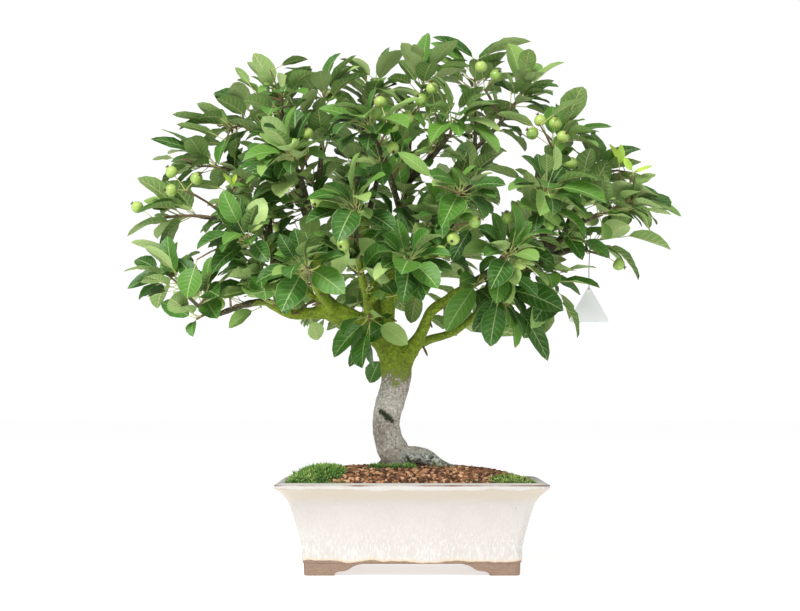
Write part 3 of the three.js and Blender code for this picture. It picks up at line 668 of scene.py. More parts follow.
def prism(outline, reach, along):
    """A long cutter with an outline, lying along X or Y."""
    half = len(outline)
    ends = []
    for far in (-reach, reach):
        for side, height in outline:
            ends.append(at(side, far, height) if along == "Y" else at(far, side, height))
    faces = [(i, (i + 1) % half, (i + 1) % half + half, i + half) for i in range(half)]
    faces += [tuple(range(half)), tuple(range(2 * half - 1, half - 1, -1))]
    mesh = bpy.data.meshes.new("cutter")
    mesh.from_pydata(ends, [], faces)
    cutter = bpy.data.objects.new("cutter", mesh)
    scene.collection.objects.link(cutter)
    picked(cutter)
    edit_all()
    close_up()
    return cutter


foot_length, foot_depth = POT_LENGTH - 2 * FOOT_INSET, POT_DEPTH - 2 * FOOT_INSET
feet = mould("pot_feet", foot_length, foot_depth, FOOT_CORNER, FOOT_PROFILE)
hollow = (foot_length - 2 * FOOT_THICK, foot_depth - 2 * FOOT_THICK)
cut(feet, mould("inner", *hollow, INNER_CORNER, [(-1, 0), (FOOT_TOP + 1, 0)]))
for span, along in ((foot_length / 2 - FOOT_SOLE_X, "Y"), (foot_depth / 2 - FOOT_SOLE_Y, "X")):
    right = [(span - side, height) for side, height in BRACKET]
    left = [(side - span, height) for side, height in BRACKET]
    cut(feet, prism(left + right[::-1], POT_LENGTH / 2, along))
modify(feet, "BEVEL", width=0.7 * MM, segments=2, limit_method="ANGLE", angle_limit=math.radians(40))
smooth_to(POT_SHARP)
report(feet)

# %% [markdown]
# ## Glaze and bare clay
# The glaze is a warm white that ran in the kiln: fine streaks down the lower half, painted shade
# of a darker beige in the cove under the lip, a brown line where it drew back from the rim's edge,
# a few pinholes and a net of hairline cracks. The potter wiped the foot clean, so the clay shows
# there. All of it follows the height above the table, so one material can hold both.

# %% Glaze
def clay_colour(finish):
    """The fired clay: warm brown, streaked by the wiping cloth and speckled with sand."""
    streaks = finish.noise(260, 5, stretch=(0.25, 0.25, 2.5))
    return layered(
        mix(streaks, (105, 84, 71), (172, 148, 127)),
        (finish.noise(34).rise(0.45, 0.7) * 0.5, (138, 112, 99)),
        (finish.flecks(900, 0.55), (86, 67, 56)),
    )


def glaze_finish():
    """Heights are in metres above the table, made wavy by clouds where the glaze ran."""
    finish = Finish("glaze", 0.2, Coat_Roughness=0.12)
    height = finish.where().axis("Z")
    clouds = finish.noise(26, 4)
    runs = finish.noise(420, stretch=(1, 1, 0.22))
    grain = finish.noise(700, stretch=(1, 1, 0.6))
    wavy = height + (clouds - 0.5) * 0.014
    low = height.fall(0.036, 0.085)
    # The cove under the lip's overhang: painted shade, a darker beige laid over the glaze there.
    under_lip_shade = wavy.rise(0.100, 0.120) * wavy.fall(0.1262, 0.1275)
    line_width = (finish.noise(16, 5) * 0.005 - 0.0019).math("MAXIMUM", 0.0001)
    worn = 1.0 - abs(height - 0.1324) / line_width
    pinholes = finish.flecks(46, 0.085)
    seam = wavy.rise(0.0195, 0.0215) * wavy.fall(0.0222, 0.0262)
    bare = wavy.fall(0.0205, 0.0222)
    glaze = layered(
        mix(clouds, (190, 184, 177), (203, 199, 195)),
        (runs.rise(0.46, 0.62) * (low * 0.6 + 0.16), (215, 212, 210)),
        (grain.rise(0.52, 0.68) * 0.34, (214, 211, 209)),
        (under_lip_shade * 0.7, (184, 171, 151)),
        (finish.net(230.0, 0.06) * 0.2, (196, 180, 160)),
        (worn.rise(0.05, 0.45), (128, 98, 86)),
        (pinholes, (96, 84, 74)),
        (seam * 0.6, (214, 190, 150)),
        (bare, clay_colour(finish)),
    )
    glossy = grain * 0.16 + 0.14
    finish.give(Roughness=glossy + (0.85 - glossy) * bare)
    return finish.done(glaze, runs * 0.5 + clouds - pinholes * 1.5, 0.25, 0.0012)


def clay_finish():
    finish = Finish("bare_clay", 0.88)
    return finish.done(clay_colour(finish), finish.noise(900, 5), 0.5, 0.0006)


for piece, material in ((pot, glaze_finish()), (feet, clay_finish())):
    piece.data.materials.append(material)
    belongs(piece, "pot")
print("pot glazed")

# %% [markdown]
# ## Drain screens
# Two squares of plastic mesh keep the soil in over the drain holes. They are seen only from
# below, and their solids have the right shape, so they get a finish alone.

# %% Drain screens
def screen_finish():
    finish = Finish("black_mesh", 0.55)
    dust = finish.noise(180, 4)
    return finish.done(mix(dust.rise(0.5, 0.75), (30, 32, 32), (84, 66, 52)), dust, 0.3, 0.0004)


screen = screen_finish()
for side in ("left", "right"):
    finished("drain_screen_" + side, screen)
print("screens dressed")

# %% [markdown]
# ## The ground
# The pot is filled with baked clay soil that is heaped towards the trunk. The ground is a grid
# that is pulled to the inside of the bowl, raised to the mound, extruded down into the bowl and
# flattened there, so that it closes the pot. The loose grains come on top of it.

# %% Ground
SOIL_EDGE, SOIL_MOUND = 129, 27
SOIL_SLIT, SOIL_CORNER = 0.3, 8
SOIL_UNDERSIDE, SOIL_TAPER = 60, (0.86, 0.82, 0)
GRAIN_DROP = 1.6


def soil_height(x, y):
    """The mound in millimetres, as it was laid out: flatter on the left than on the right."""
    along_x = 1 - (abs(x) / 188) ** (4 if x < 0 else 3)
    along_y = 1 - (abs(y) / 138) ** 2.6
    return SOIL_EDGE + SOIL_MOUND * max(along_x, 0) * max(along_y, 0)


def inside_at(height):
    """The inset of the bowl's inner wall at a height."""
    for (upper, outer), (lower, inner) in zip(BOWL_INSIDE, BOWL_INSIDE[1:]):
        if lower <= height <= upper:
            return outer + (inner - outer) * (upper - height) / (upper - lower)
    return BOWL_INSIDE[-1][1]


def kept_in(x, y, margin):
    """Pulls a point to the soil's border, less a margin, where it lies outside that."""
    wide, deep = half_x - margin, half_y - margin
    return max(min(x, wide), -wide), max(min(y, deep), -deep)


def round_corner(x, y, margin=0):
    """Pulls a point of the soil's border, less a margin, into its rounded corner."""
    straight_x, straight_y = half_x - margin - SOIL_CORNER, half_y - margin - SOIL_CORNER
    over_x, over_y = abs(x) - straight_x, abs(y) - straight_y
    if over_x > 0 and over_y > 0:
        scale = max(over_x, over_y) / math.hypot(over_x, over_y)
        x = math.copysign(straight_x + over_x * scale, x)
        y = math.copysign(straight_y + over_y * scale, y)
    return x, y


rim_inset = inside_at(SOIL_EDGE - GRAIN_DROP) + SOIL_SLIT
half_x, half_y = POT_LENGTH / 2 - rim_inset, POT_DEPTH / 2 - rim_inset
picked()
middle = at(0, 0, SOIL_EDGE)
bpy.ops.mesh.primitive_grid_add(x_subdivisions=60, y_subdivisions=44, size=1, location=middle)
ground = bpy.context.object
ground.name = "soil_ground"
edit_all()
bpy.ops.transform.resize(value=(2 * half_x * MM, 2 * half_y * MM, 1), center_override=middle)
bpy.ops.object.mode_set(mode="OBJECT")
bpy.ops.object.transform_apply(location=True, rotation=True, scale=True)
draw = seeded(501)
for vertex in ground.data.vertices:
    x, y = (vertex.co.x - POT_MIDDLE.x) / MM, (vertex.co.y - POT_MIDDLE.y) / MM
    x, y = round_corner(x, y)
    vertex.co = at(x, y, soil_height(x, y) - GRAIN_DROP + draw(-0.8, 0.8))
edit_all()
bpy.ops.mesh.extrude_region_move(TRANSFORM_OT_translate={"value": (0, 0, -SOIL_UNDERSIDE * MM)})
bpy.ops.transform.resize(value=SOIL_TAPER, center_override=at(0, 0, SOIL_UNDERSIDE))
close_up()
smooth_to(40)
report(ground)


# %% Soil finish
SOIL_TONES = [
    (0.0, (62, 38, 24)), (0.2, (92, 62, 42)), (0.5, (146, 98, 66)), (0.8, (194, 142, 102)),
    (1.0, (228, 186, 148)),
]
GROUND_TONE = 0.1


def soil_finish():
    """Each grain has its own tone: dust lies on some, and whole patches are damp."""
    finish = Finish("baked_clay_soil", 0.9)
    dusty = finish.noise(420, 4)
    shade = layered(
        finish.ramp(finish.tone(), SOIL_TONES),
        (dusty.rise(0.5, 0.75) * 0.4, (120, 82, 56)),
        (finish.noise(22, 2).rise(0.5, 0.75) * 0.45, (70, 44, 28)),
    )
    return finish.done(shade, dusty, 0.8, 0.0012)


SOIL_FINISH = soil_finish()
ground.data.materials.append(SOIL_FINISH)
tone = ground.data.attributes.new("tone", "FLOAT", "POINT")
tone.data.foreach_set("value", [GROUND_TONE] * len(ground.data.vertices))
belongs(ground, "soil")

# %% [markdown]
# ## Loose grains
# The soil is sold by grain size, four to six millimetres. Three grains are modelled: a cube
# that is subdivided once, pulled most of the way to a ball and knocked about. They are then
# strewn over the mound in rows that chance breaks up, each turned its own way and half sunk.

# %% Three grains
def model_grain(seed):
    picked()
    bpy.ops.mesh.primitive_cube_add(size=1)
    grain = bpy.context.object
    edit_all()
    bpy.ops.mesh.subdivide(number_cuts=1)
    bpy.ops.transform.tosphere(value=0.72)
    bpy.ops.object.mode_set(mode="OBJECT")
    draw = seeded(seed)
    for vertex in grain.data.vertices:
        vertex.co *= draw(0.8, 1.16)
    return shape_of(grain)


GRAINS = [model_grain(seed) for seed in (1, 2, 3)]
print(len(GRAINS), "grains of", len(GRAINS[0][1]), "faces")

# %% Strewn grains
MOSS_LEFT = [
    (-184, -132), (-146, -134), (-126, -118), (-102, -100), (-96, -66), (-114, -24), (-142, 6),
    (-172, 6), (-184, -30),
]
MOSS_RIGHT = [(112, -128), (178, -133), (183, -92), (152, -68), (120, -92)]
GRAIN_PITCH, ROW_PITCH = 4.5, 0.866
GRAIN_FLAT = (1, 1, 0.85)
WOOD_GAP = 3.0


def within(outline, x, y):
    """Whether a point lies inside an outline: a ray from it crosses the border an odd number of times."""
    inside = False
    for (x0, y0), (x1, y1) in zip(outline, outline[1:] + outline[:1]):
        if (y0 > y) != (y1 > y) and x < x0 + (y - y0) * (x1 - x0) / (y1 - y0):
            inside = not inside
    return inside


def turned(draw):
    """A turn that chance picks."""
    axis = Vector((draw(-1, 1), draw(-1, 1), draw(-1, 1)))
    return rotation(axis.normalized() if axis.length > 0.1 else UP, draw(0, FULL_TURN))


wood_tree = BVHTree.FromObject(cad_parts["trunk"], bpy.context.evaluated_depsgraph_get())
draw = seeded(611)
strewn = {"left": Gathered(), "right": Gathered()}
for row in range(int(2 * half_y / (GRAIN_PITCH * ROW_PITCH)) + 1):
    for column in range(int(2 * half_x / GRAIN_PITCH) + 1):
        x = -half_x + (column + 0.5 * (row % 2)) * GRAIN_PITCH + draw(-1.4, 1.4)
        y = -half_y + row * GRAIN_PITCH * ROW_PITCH + draw(-1.4, 1.4)
        size = 2.9 + 3.4 * draw(0, 1) ** 1.4
        margin = size * 0.45
        x, y = round_corner(*kept_in(x, y, margin), margin)
        turn, tone = turned(draw), draw(0, 1) ** 1.25
        lift = draw(-0.6, 1.0)
        under_moss = within(MOSS_LEFT, x, y) and within(MOSS_LEFT, x + 8, y + 6)
        near_wood = wood_tree.find_nearest(at(x, y, soil_height(x, y)), WOOD_GAP * MM)[0]
        if under_moss or near_wood is not None:
            continue
        shape, faces = GRAINS[(row + column) % 3]
        spot = (x, y, soil_height(x, y) - GRAIN_DROP + 0.2 * size + lift)
        points = (shape * size) @ turn.T * GRAIN_FLAT + spot
        strewn["left" if x < 0 else "right"].add(points, faces, np.zeros((len(points), 2)), tone)
for side, grains in strewn.items():
    piece = grains.piece("soil_grains_" + side, [SOIL_FINISH], 35)
    belongs(piece, "soil")
    print("grains", side, len(piece.data.polygons), "faces")

# %% [markdown]
# ## Moss
# On the left lies a cushion of bright moss, and a thinner one on the right. Each tuft is a
# rosette of narrow leaves that stands up and opens like a star. One tuft is built from a few
# bent strips, and copies of it, larger and smaller, cover a bumpy cushion.

# %% Moss finish
def moss_finish():
    """Dark at the foot of a tuft, fair at its tips: v runs up the tuft's leaves."""
    finish = Finish("moss", 0.75, Sheen_Weight=0.25)
    tone = finish.tone()
    deep = mix(tone, (30, 74, 18), (84, 108, 34))
    fair = mix(tone, (92, 164, 48), (216, 232, 128))
    shade = mix(finish.uv().axis("Y").rise(0.15, 0.95), deep, fair)
    return finish.done(shade, finish.noise(900, 2), 0.3, 0.0004)


MOSS_FINISH = moss_finish()

# %% Tufts
TUFT_LEAVES, TUFT_LEAF_WIDTH = 10, 0.085


def model_tuft(seed):
    """A rosette of narrow leaves, each a strip that is bent outwards and pointed."""
    draw = seeded(seed)
    points, faces, uvs = [], [], []
    for i in range(TUFT_LEAVES):
        turn = i * GOLDEN_ANGLE + draw(-0.3, 0.3)
        lean = 0.18 + 0.11 * i + draw(-0.08, 0.08)
        out, wide = level(turn), np.cross(UP, level(turn)) * TUFT_LEAF_WIDTH
        start = len(points)
        for k, (far, bend) in enumerate(((0.0, 1), (0.55, 1), (1.0, 1.5))):
            spot = out * far * math.sin(lean * bend) + UP * far * math.cos(lean * bend)
            for hand in ((-1, 1) if k < 2 else (0,)):
                points.append(spot + wide * hand * (0.7 if k == 0 else 1))
                uvs.append((0.5 + hand / 2, k / 2))
        faces += [(start, start + 1, start + 3, start + 2), (start + 2, start + 3, start + 4)]
    return np.array(points), faces, np.array(uvs)


def plant(moss, tuft, spot, size, turn, lean, tone):
    """Sets a tuft: turned about its own middle, and leaned over."""
    shape, faces, uvs = tuft
    moss.add((shape * size) @ (rotation(level(turn), lean) @ rotation(UP, turn)).T + spot, faces, uvs, tone)


TUFTS = [model_tuft(seed) for seed in (11, 12, 13)]
print(len(TUFTS), "tufts of", len(TUFTS[0][1]), "faces")

# %% Moss cushions
MOSS_HEIGHT = {"left": 8.0, "right": 2.2}
CUSHION_RINGS, BORDER_PARTS = 7, 4
# Side, outline, seed, pitch of the tufts, and how far all of them are brightened
MOSSES = (("left", MOSS_LEFT, 31, 2.7, 0), ("right", MOSS_RIGHT, 32, 4.4, 0.4))
CUSHION_TONE, TUFT_SIZE, BIG_SHOOTS, BIG_SHOOT_SIZE = 0.15, (3.6, 9.2), 0.07, 1.5
ABOVE_MOSS = 400


def cushion(outline, top, seed):
    """The bumpy body of the moss: rings inside the outline, sunk at its border."""
    draw = seeded(seed)
    middle = np.mean(outline, axis=0)
    count = len(outline) * BORDER_PARTS
    border = smooth_line(np.array(outline + outline[:1]), BORDER_PARTS)[:-1]
    points = [(*middle, soil_height(*middle) + top)]
    for ring in range(1, CUSHION_RINGS + 1):
        share = ring / CUSHION_RINGS
        sunk = 4 if ring == CUSHION_RINGS else 0
        for spot in border:
            x, y = kept_in(*(middle + (spot - middle) * share), 1)
            points.append((x, y, soil_height(x, y) + top * (1 - share ** 2.6) + draw(-1.2, 1.2) - sunk))
    points.append((*middle, SOIL_EDGE - 8))
    faces = []
    last = 1 + (CUSHION_RINGS - 1) * count
    for j in range(count):
        k = (j + 1) % count
        faces.append((0, 1 + j, 1 + k))
        for a in range(1, last, count):
            faces.append((a + j, a + count + j, a + count + k, a + k))
        faces.append((last + k, last + j, len(points) - 1))
    return points, faces, np.zeros((len(points), 2))


for side, outline, seed, pitch, fade in MOSSES:
    tufts = Gathered()
    body = cushion(outline, MOSS_HEIGHT[side], seed)
    tufts.add(*body, CUSHION_TONE)
    surface = BVHTree.FromPolygons([Vector(p) for p in body[0]], body[1])
    draw = seeded(seed + 700)
    (left, low), (right, high) = np.min(outline, axis=0), np.max(outline, axis=0)
    y = low
    while y < high:
        x = left
        while x < right:
            px, py = x + draw(-1.1, 1.1), y + draw(-1.1, 1.1)
            size, tone, turn = draw(*TUFT_SIZE), draw(0, 1) ** 1.3, draw(0, FULL_TURN)
            clump = 0.5 + 0.5 * math.sin(px * 0.21 + 1.7 * math.sin(py * 0.17)) * math.cos(py * 0.24)
            x += pitch
            if not within(outline, px, py) or kept_in(px, py, 1) != (px, py):
                continue
            tuft, lean = TUFTS[int(draw(0, 2.999))], draw(-0.6, 0.6)
            top = surface.ray_cast(Vector((px, py, ABOVE_MOSS)), -Vector(UP))[0]
            foot = max(top.z if top else 0, soil_height(px, py)) - 1.4 + 1.6 * clump
            size *= BIG_SHOOT_SIZE if draw(0, 1) < BIG_SHOOTS else 1
            bright = fade + (1 - fade) * tone * (0.3 + 0.7 * clump)
            plant(tufts, tuft, (px, py, foot), size, turn, lean, bright)
        y += pitch * ROW_PITCH
    moss = tufts.piece("moss_cushion_" + side, [MOSS_FINISH])
    belongs(moss, "moss_" + side)
    print("moss", side, len(moss.data.polygons), "faces")

# %% [markdown]
# Single shoots stand where the cushions end: along the front rim, and round the trunk's foot.
# Each patch has a middle, a reach to the sides and to the depth, a count, and the least and the
# largest size.

# %% Stray shoots
STRAYS = [
    ((-118, -126), (26, 9), 70, (2.6, 5.4)), ((-30, -50), (38, 12), 90, (5.0, 12.5)),
    ((36, -40), (12, 7), 14, (3.0, 5.5)), ((96, -118), (18, 12), 18, (2.4, 4.4)),
]
shoots = Gathered()
draw = seeded(941)
for (x, y), (wide, deep), count, sizes in STRAYS:
    for _ in range(count):
        px, py = x + wide * draw(-1, 1), y + deep * (draw(0, 1) + draw(0, 1) - 1)
        size, turn, tone = draw(*sizes), draw(0, FULL_TURN), draw(0, 0.5)
        tuft = TUFTS[int(draw(0, 2.999))]
        if kept_in(px, py, 3) == (px, py):
            plant(shoots, tuft, (px, py, soil_height(px, py) - 0.6), size, turn, draw(-0.5, 0.5), tone)
stray = shoots.piece("stray_moss_shoots", [MOSS_FINISH])
belongs(stray)
print("stray moss", len(stray.data.polygons), "faces")

# %% [markdown]
# ## The wood
# The trunk leans left, forks low, and its limbs climb outwards in bends where they were once
# pruned. Each limb is a list of points with a radius, the same as in the solids. A smooth line
# is drawn through them and swept into a tube.

# %% Limbs
LIMBS = {
    "trunk": [
        (-16, 4, 92, 14), (-14, 2, 126, 22), (-15, 0, 152, 24.5), (-23.5, 0, 172, 23.5),
        (-33, 0, 192, 22), (-38, -1, 214, 20.8), (-37, -1, 234, 21), (-31, -2, 256, 21.6),
        (-25, -1, 277, 22), (-23, 0, 299, 23.5), (-26, 0, 320, 23.5), (-38, 0, 341, 20.5),
        (-57, -2, 358, 18), (-78, -6, 370, 17), (-100, -12, 381, 16.5), (-118, -16, 388, 16),
        (-129, -18, 398, 14), (-134, -20, 416, 11), (-137, -24, 442, 9), (-147, -32, 497, 7.5),
        (-165, -45, 557, 6), (-181, -55, 616, 4.8), (-190, -62, 664, 3.2), (-194, -64, 700, 2.4),
    ],
    "root_right": [
        (-26, -4, 160, 18), (-4, -10, 171, 15), (18, -12, 171, 12.5), (42, -17, 157, 10.5),
        (62, -21, 149, 9), (84, -25, 145, 6.5),
    ],
    "root_left": [(-22, -6, 146, 13), (-54, -20, 138, 9), (-80, -34, 129, 6)],
    "root_back": [(-36, 12, 156, 15), (-46, 36, 148, 10), (-52, 62, 139, 6)],
    "root_back_right": [(-24, 10, 158, 13), (0, 30, 149, 9), (20, 46, 142, 5)],
    "low_left": [
        (-124, -17, 389, 12), (-155, -22, 385, 9), (-180, -30, 384, 7.4), (-203, -38, 394, 6.8),
        (-217, -42, 402, 6.4), (-236, -50, 400, 5.2), (-254, -58, 395, 4.5), (-277, -66, 386, 4.3),
        (-292, -70, 382, 4), (-311, -76, 391, 3.5), (-330, -72, 408, 2.8),
    ],
    "stub": [(-128, -14, 392, 6), (-146, -12, 409, 4.4), (-162, -12, 424, 4)],
    "rising_left": [
        (-196, -34, 390, 7), (-205, -28, 432, 6.4), (-208, -16, 480, 6), (-216, -6, 517, 5.4),
        (-214, 10, 550, 4.8), (-203, 28, 590, 4.2), (-206, 38, 630, 3.4), (-212, 42, 672, 2.4),
    ],
    "far_left": [
        (-216, -6, 517, 5), (-250, -14, 528, 4.2), (-284, -16, 530, 3.6), (-312, -14, 530, 2.6),
    ],
    "upper_left": [(-212, 20, 566, 4), (-248, 30, 590, 3.4), (-282, 32, 608, 2.6)],
    "crown_left": [
        (-38, 6, 338, 13), (-52, 16, 374, 9), (-58, 24, 402, 7.2), (-58, 34, 447, 6.6),
        (-70, 44, 512, 5.8), (-82, 44, 590, 4.6), (-78, 38, 650, 3.4), (-66, 34, 690, 2.4),
    ],
    "crown_middle": [
        (-30, 0, 332, 15), (-36, -6, 364, 12), (-36, -10, 394, 10.5), (-35, -14, 440, 9),
        (-18, -20, 513, 7.4), (-5, -24, 582, 5.8), (-4, -24, 640, 4.2), (12, -22, 702, 2.6),
    ],
    "low_right": [
        (-18, 0, 299, 16), (-4, -4, 327, 12.5), (7, -8, 342, 10.5), (18, -12, 363, 8.8),
        (29, -16, 388, 8.2), (54, -22, 406, 7.8), (86, -30, 426, 7.3), (118, -38, 443, 7),
        (166, -48, 448, 6.8), (186, -54, 458, 7.4), (205, -58, 478, 6.2), (225, -60, 498, 5.2),
        (247, -60, 518, 4.2), (285, -60, 532, 3.2),
    ],
    "far_right": [(186, -54, 458, 5.2), (212, -46, 472, 4.6), (236, -40, 479, 4.2), (262, -38, 480, 3.2)],
    "back_right": [
        (10, -6, 340, 8), (30, 14, 348, 6.8), (54, 34, 355, 6.2), (70, 48, 363, 5.8),
        (100, 78, 388, 5.2), (112, 104, 416, 4.6), (126, 130, 448, 3.6), (142, 150, 474, 2.6),
    ],
    "crown_right": [
        (-35, -12, 402, 8), (-10, 4, 432, 7), (22, 18, 458, 6.4), (50, 30, 506, 5.8),
        (78, 40, 558, 5), (96, 44, 604, 4.2), (98, 42, 652, 3.4), (98, 40, 702, 2.4),
    ],
    "upper_right": [
        (205, -58, 478, 5.4), (190, -62, 520, 5), (186, -64, 572, 4.6), (190, -64, 600, 4.2),
        (202, -62, 622, 3.2),
    ],
    "right_shoulder": [(225, -60, 498, 4.2), (240, -42, 534, 3.6), (262, -24, 568, 2.6)],
    "top_right": [(98, 43, 640, 3.6), (124, 22, 664, 3.2), (146, 6, 690, 2.4)],
    "top_left": [(-147, -32, 497, 5.4), (-142, -28, 560, 4.6), (-136, -28, 620, 3.8), (-132, -30, 680, 2.4)],
    "front_left": [
        (-110, -14, 386, 8), (-130, -58, 404, 6), (-142, -102, 420, 5), (-148, -150, 438, 3),
    ],
    "front_far_left": [
        (-180, -30, 384, 5.4), (-200, -70, 410, 4.8), (-218, -108, 442, 4), (-230, -126, 466, 2.6),
    ],
    "front_middle": [
        (-60, -4, 362, 9), (-66, -44, 400, 6.4), (-74, -92, 438, 5.4), (-80, -136, 474, 4.4),
        (-80, -172, 506, 2.8),
    ],
    "front_low": [(-66, -44, 400, 5.4), (-40, -84, 418, 4.8), (-20, -128, 434, 4), (-10, -170, 446, 2.6)],
    "front_right": [
        (-33, -14, 432, 7), (-6, -52, 464, 6), (22, -96, 498, 5), (46, -136, 522, 4), (62, -168, 538, 2.8),
    ],
    "front_low_right": [
        (86, -30, 426, 6), (104, -70, 438, 5.2), (122, -112, 450, 4.2), (134, -148, 458, 2.8),
    ],
    "front_far_right": [
        (118, -38, 443, 5.4), (150, -66, 486, 4.8), (174, -96, 522, 4), (188, -122, 546, 2.6),
    ],
    "front_top": [
        (-14, -22, 530, 5.6), (-26, -62, 566, 4.8), (-40, -104, 606, 4), (-54, -136, 636, 2.6),
    ],
    "front_top_left": [
        (-147, -32, 497, 6), (-152, -72, 536, 5), (-160, -106, 572, 4), (-168, -126, 594, 2.6),
    ],
    "front_top_right": [(-5, -24, 582, 4.8), (20, -56, 606, 4.2), (42, -90, 628, 3.6), (56, -118, 644, 2.4)],
    "back_left": [
        (-100, -4, 382, 8), (-118, 36, 402, 6.2), (-138, 82, 424, 5.2), (-154, 124, 448, 4),
        (-162, 150, 466, 2.6),
    ],
    "back_far_left": [
        (-207, -18, 472, 4.8), (-220, 26, 500, 4.2), (-236, 70, 526, 3.6), (-246, 104, 546, 2.6),
    ],
    "back_middle": [
        (-38, 8, 347, 10), (-44, 46, 390, 7), (-56, 90, 440, 6), (-70, 130, 500, 4.8),
        (-82, 160, 554, 2.8),
    ],
    "back_low": [(-50, 70, 418, 5.4), (-30, 112, 446, 4.8), (-4, 150, 476, 3.6), (6, 168, 490, 2.6)],
    "back_top": [(-70, 44, 512, 5), (-62, 84, 560, 4.4), (-50, 114, 612, 3.6), (-44, 132, 644, 2.4)],
    "back_top_right": [(22, 18, 458, 5.4), (40, 62, 500, 4.8), (56, 106, 552, 4.2), (70, 148, 598, 2.6)],
    "back_far_right": [
        (118, -38, 443, 5), (140, 4, 468, 4.6), (168, 44, 500, 4), (196, 82, 530, 3.4),
        (214, 104, 546, 2.4),
    ],
}
STOUT = 15
SCAR_CHANCE, SCAR_SWELLING = 0.14, 0.13


def limb_line(limb, parts=4):
    """A limb's smooth line and its radii, with the small swellings of old leaf scars."""
    line = smooth_line(limb, parts)
    draw = seeded(len(limb) * 31 + int(abs(limb[-1][0]) * 7))
    radii = line[:, 3].copy()
    for i in range(2, len(radii) - 1):
        swelling = draw(-0.04, 0.07) + (SCAR_SWELLING if draw(0, 1) > 1 - SCAR_CHANCE else 0)
        radii[i] *= 1 + swelling * (0.25 if radii[i] > STOUT else 1)
    return line[:, :3], radii


def wood_of(name, limbs, sides):
    """Some limbs as one mesh of overlapping tubes."""
    wood = Gathered()
    for limb in limbs:
        wood.add(*sweep(*limb_line(limb), sides))
    return wood.piece(name, [])


print(len(LIMBS), "limbs")

# %% [markdown]
# ## Trunk and thick limbs
# Where limbs grow out of each other, bark runs over the joint without a seam. Overlapping tubes
# don't show that. So the thick ones are joined, remeshed into one skin of small cells, and
# smoothed, which fills the crotches as growth does. Then a slow cloud texture moves the skin in
# and out by a millimetre or two, for the swellings of an old trunk, and a quick one wrinkles it.

# %% Trunk
THICK_RADIUS, SKIN_CELL = 8, 1.9
THICK_SIDES, THIN_SIDES = 12, 8
# Name, scale, strength in millimetres, and the grey that moves nothing
CLOUDS = (("swellings", 0.035, 1.7, 0.48), ("wrinkles", 0.009, 0.5, 0.5))

thick = [limb for limb in LIMBS.values() if limb[0][3] >= THICK_RADIUS]
trunk = wood_of("trunk_wood", thick, THICK_SIDES)
modify(trunk, "REMESH", mode="VOXEL", voxel_size=SKIN_CELL * MM)
modify(trunk, "SMOOTH", factor=0.5, iterations=5)
for name, scale, strength, middle_grey in CLOUDS:
    clouds = bpy.data.textures.new(name, "CLOUDS")
    clouds.noise_scale = scale
    modify(trunk, "DISPLACE", texture=clouds, strength=strength * MM, mid_level=middle_grey,
           texture_coords="LOCAL")
bpy.ops.object.shade_smooth()
report(trunk)

# %% Thin limbs
thin = [limb for limb in LIMBS.values() if limb[0][3] < THICK_RADIUS]
limbs = wood_of("thin_limbs", thin, THIN_SIDES)
report(limbs)

# %% [markdown]
# ## Bark
# The lower trunk is pale grey and smooth, with dark flecks and short level wrinkles, and a dark
# scar where a branch was cut. Above it a green film of algae covers all that stays damp, thick on
# the left limb and in the fork. The outer wood is brown olive, painted darker than it is for the
# shade inside the crown, and the roots are crusted with white and grey lichen. Which of these
# shows follows the place on the tree.

# %% Bark finish
SCAR, SCAR_SLANT, SCAR_STRETCH = (-38, -20, 232), 40, 3.4
FORK = (-55, 0, 350)


def bark_finish():
    """Grey wood low down, olive wood above, painted darker for the shade in the crown; then film,
    lichen, a darker band just above the soil, and the scar. Heights in metres.
    """
    finish = Finish("bark", 0.82)
    height, sideways = finish.where().axis("Z"), finish.where().axis("X")
    broad, fine = finish.noise(24, 4), finish.noise(260, 5)
    wrinkles = finish.noise(150, 4, stretch=(0.35, 0.35, 2.4))
    lower = layered(
        mix(broad.rise(0.35, 0.65), (150, 140, 129), (206, 200, 190)),
        (wrinkles.rise(0.5, 0.7) * 0.36, (132, 122, 112)),
        (fine.rise(0.5, 0.66) * 0.55, (114, 106, 96)),
        (fine.fall(0.34, 0.46) * 0.8, (232, 228, 220)),
        (finish.flecks(300, 0.44) * 0.9, (52, 48, 38)),
    )
    # The outer bark: brown olive, painted darker than it is for the shade inside the crown.
    outer = layered(
        mix(broad, (40, 37, 25), (88, 84, 58)),
        (fine.rise(0.5, 0.7) * 0.5, (124, 120, 90)),
        (finish.flecks(330, 0.5), (168, 158, 122)),
    )
    film = layered(
        mix(fine.rise(0.3, 0.7), (88, 112, 14), (140, 162, 32)),
        (finish.noise(70).rise(0.45, 0.7) * 0.4, (88, 92, 30)),
        (wrinkles.rise(0.5, 0.72) * 0.32, (58, 66, 18)),
    )
    crust = layered(
        mix(fine.rise(0.42, 0.6), (96, 104, 92), (214, 218, 208)),
        (finish.noise(120).rise(0.55, 0.64), (44, 48, 40)),
        (finish.noise(75).rise(0.6, 0.7), (84, 122, 44)),
    )
    change = (height + (broad - 0.5) * 0.09 + (fine - 0.5) * 0.03).rise(0.27, 0.304)
    near = (finish.far_from(FORK) - broad * 0.08).fall(0.06, 0.21)
    patchy = (finish.noise(60, 4) + change * (near * 0.8 + 0.14)).rise(0.74, 1.12)
    foot = (height + broad * 0.02).fall(0.176, 0.196)
    scar = (finish.far_from(SCAR, SCAR_SLANT, SCAR_STRETCH) + (fine - 0.5) * 0.012).fall(0.0032, 0.006)
    bark = layered(
        mix(change, lower, outer),
        (patchy * change, film),
        (foot * sideways.rise(-0.03, -0.005), crust),
        # A darker olive band just above the soil, where the trunk meets it.
        (foot * height.fall(0.150, 0.176) * 0.55, (92, 84, 46)),
        (scar, mix(fine, (18, 24, 12), (62, 72, 40))),
    )
    return finish.done(bark, wrinkles * 1.2 + fine - scar, 0.75, 0.0022)


BARK = bark_finish()
for piece in (trunk, limbs):
    piece.data.materials.append(BARK)
    belongs(piece, "trunk")
print("bark laid")

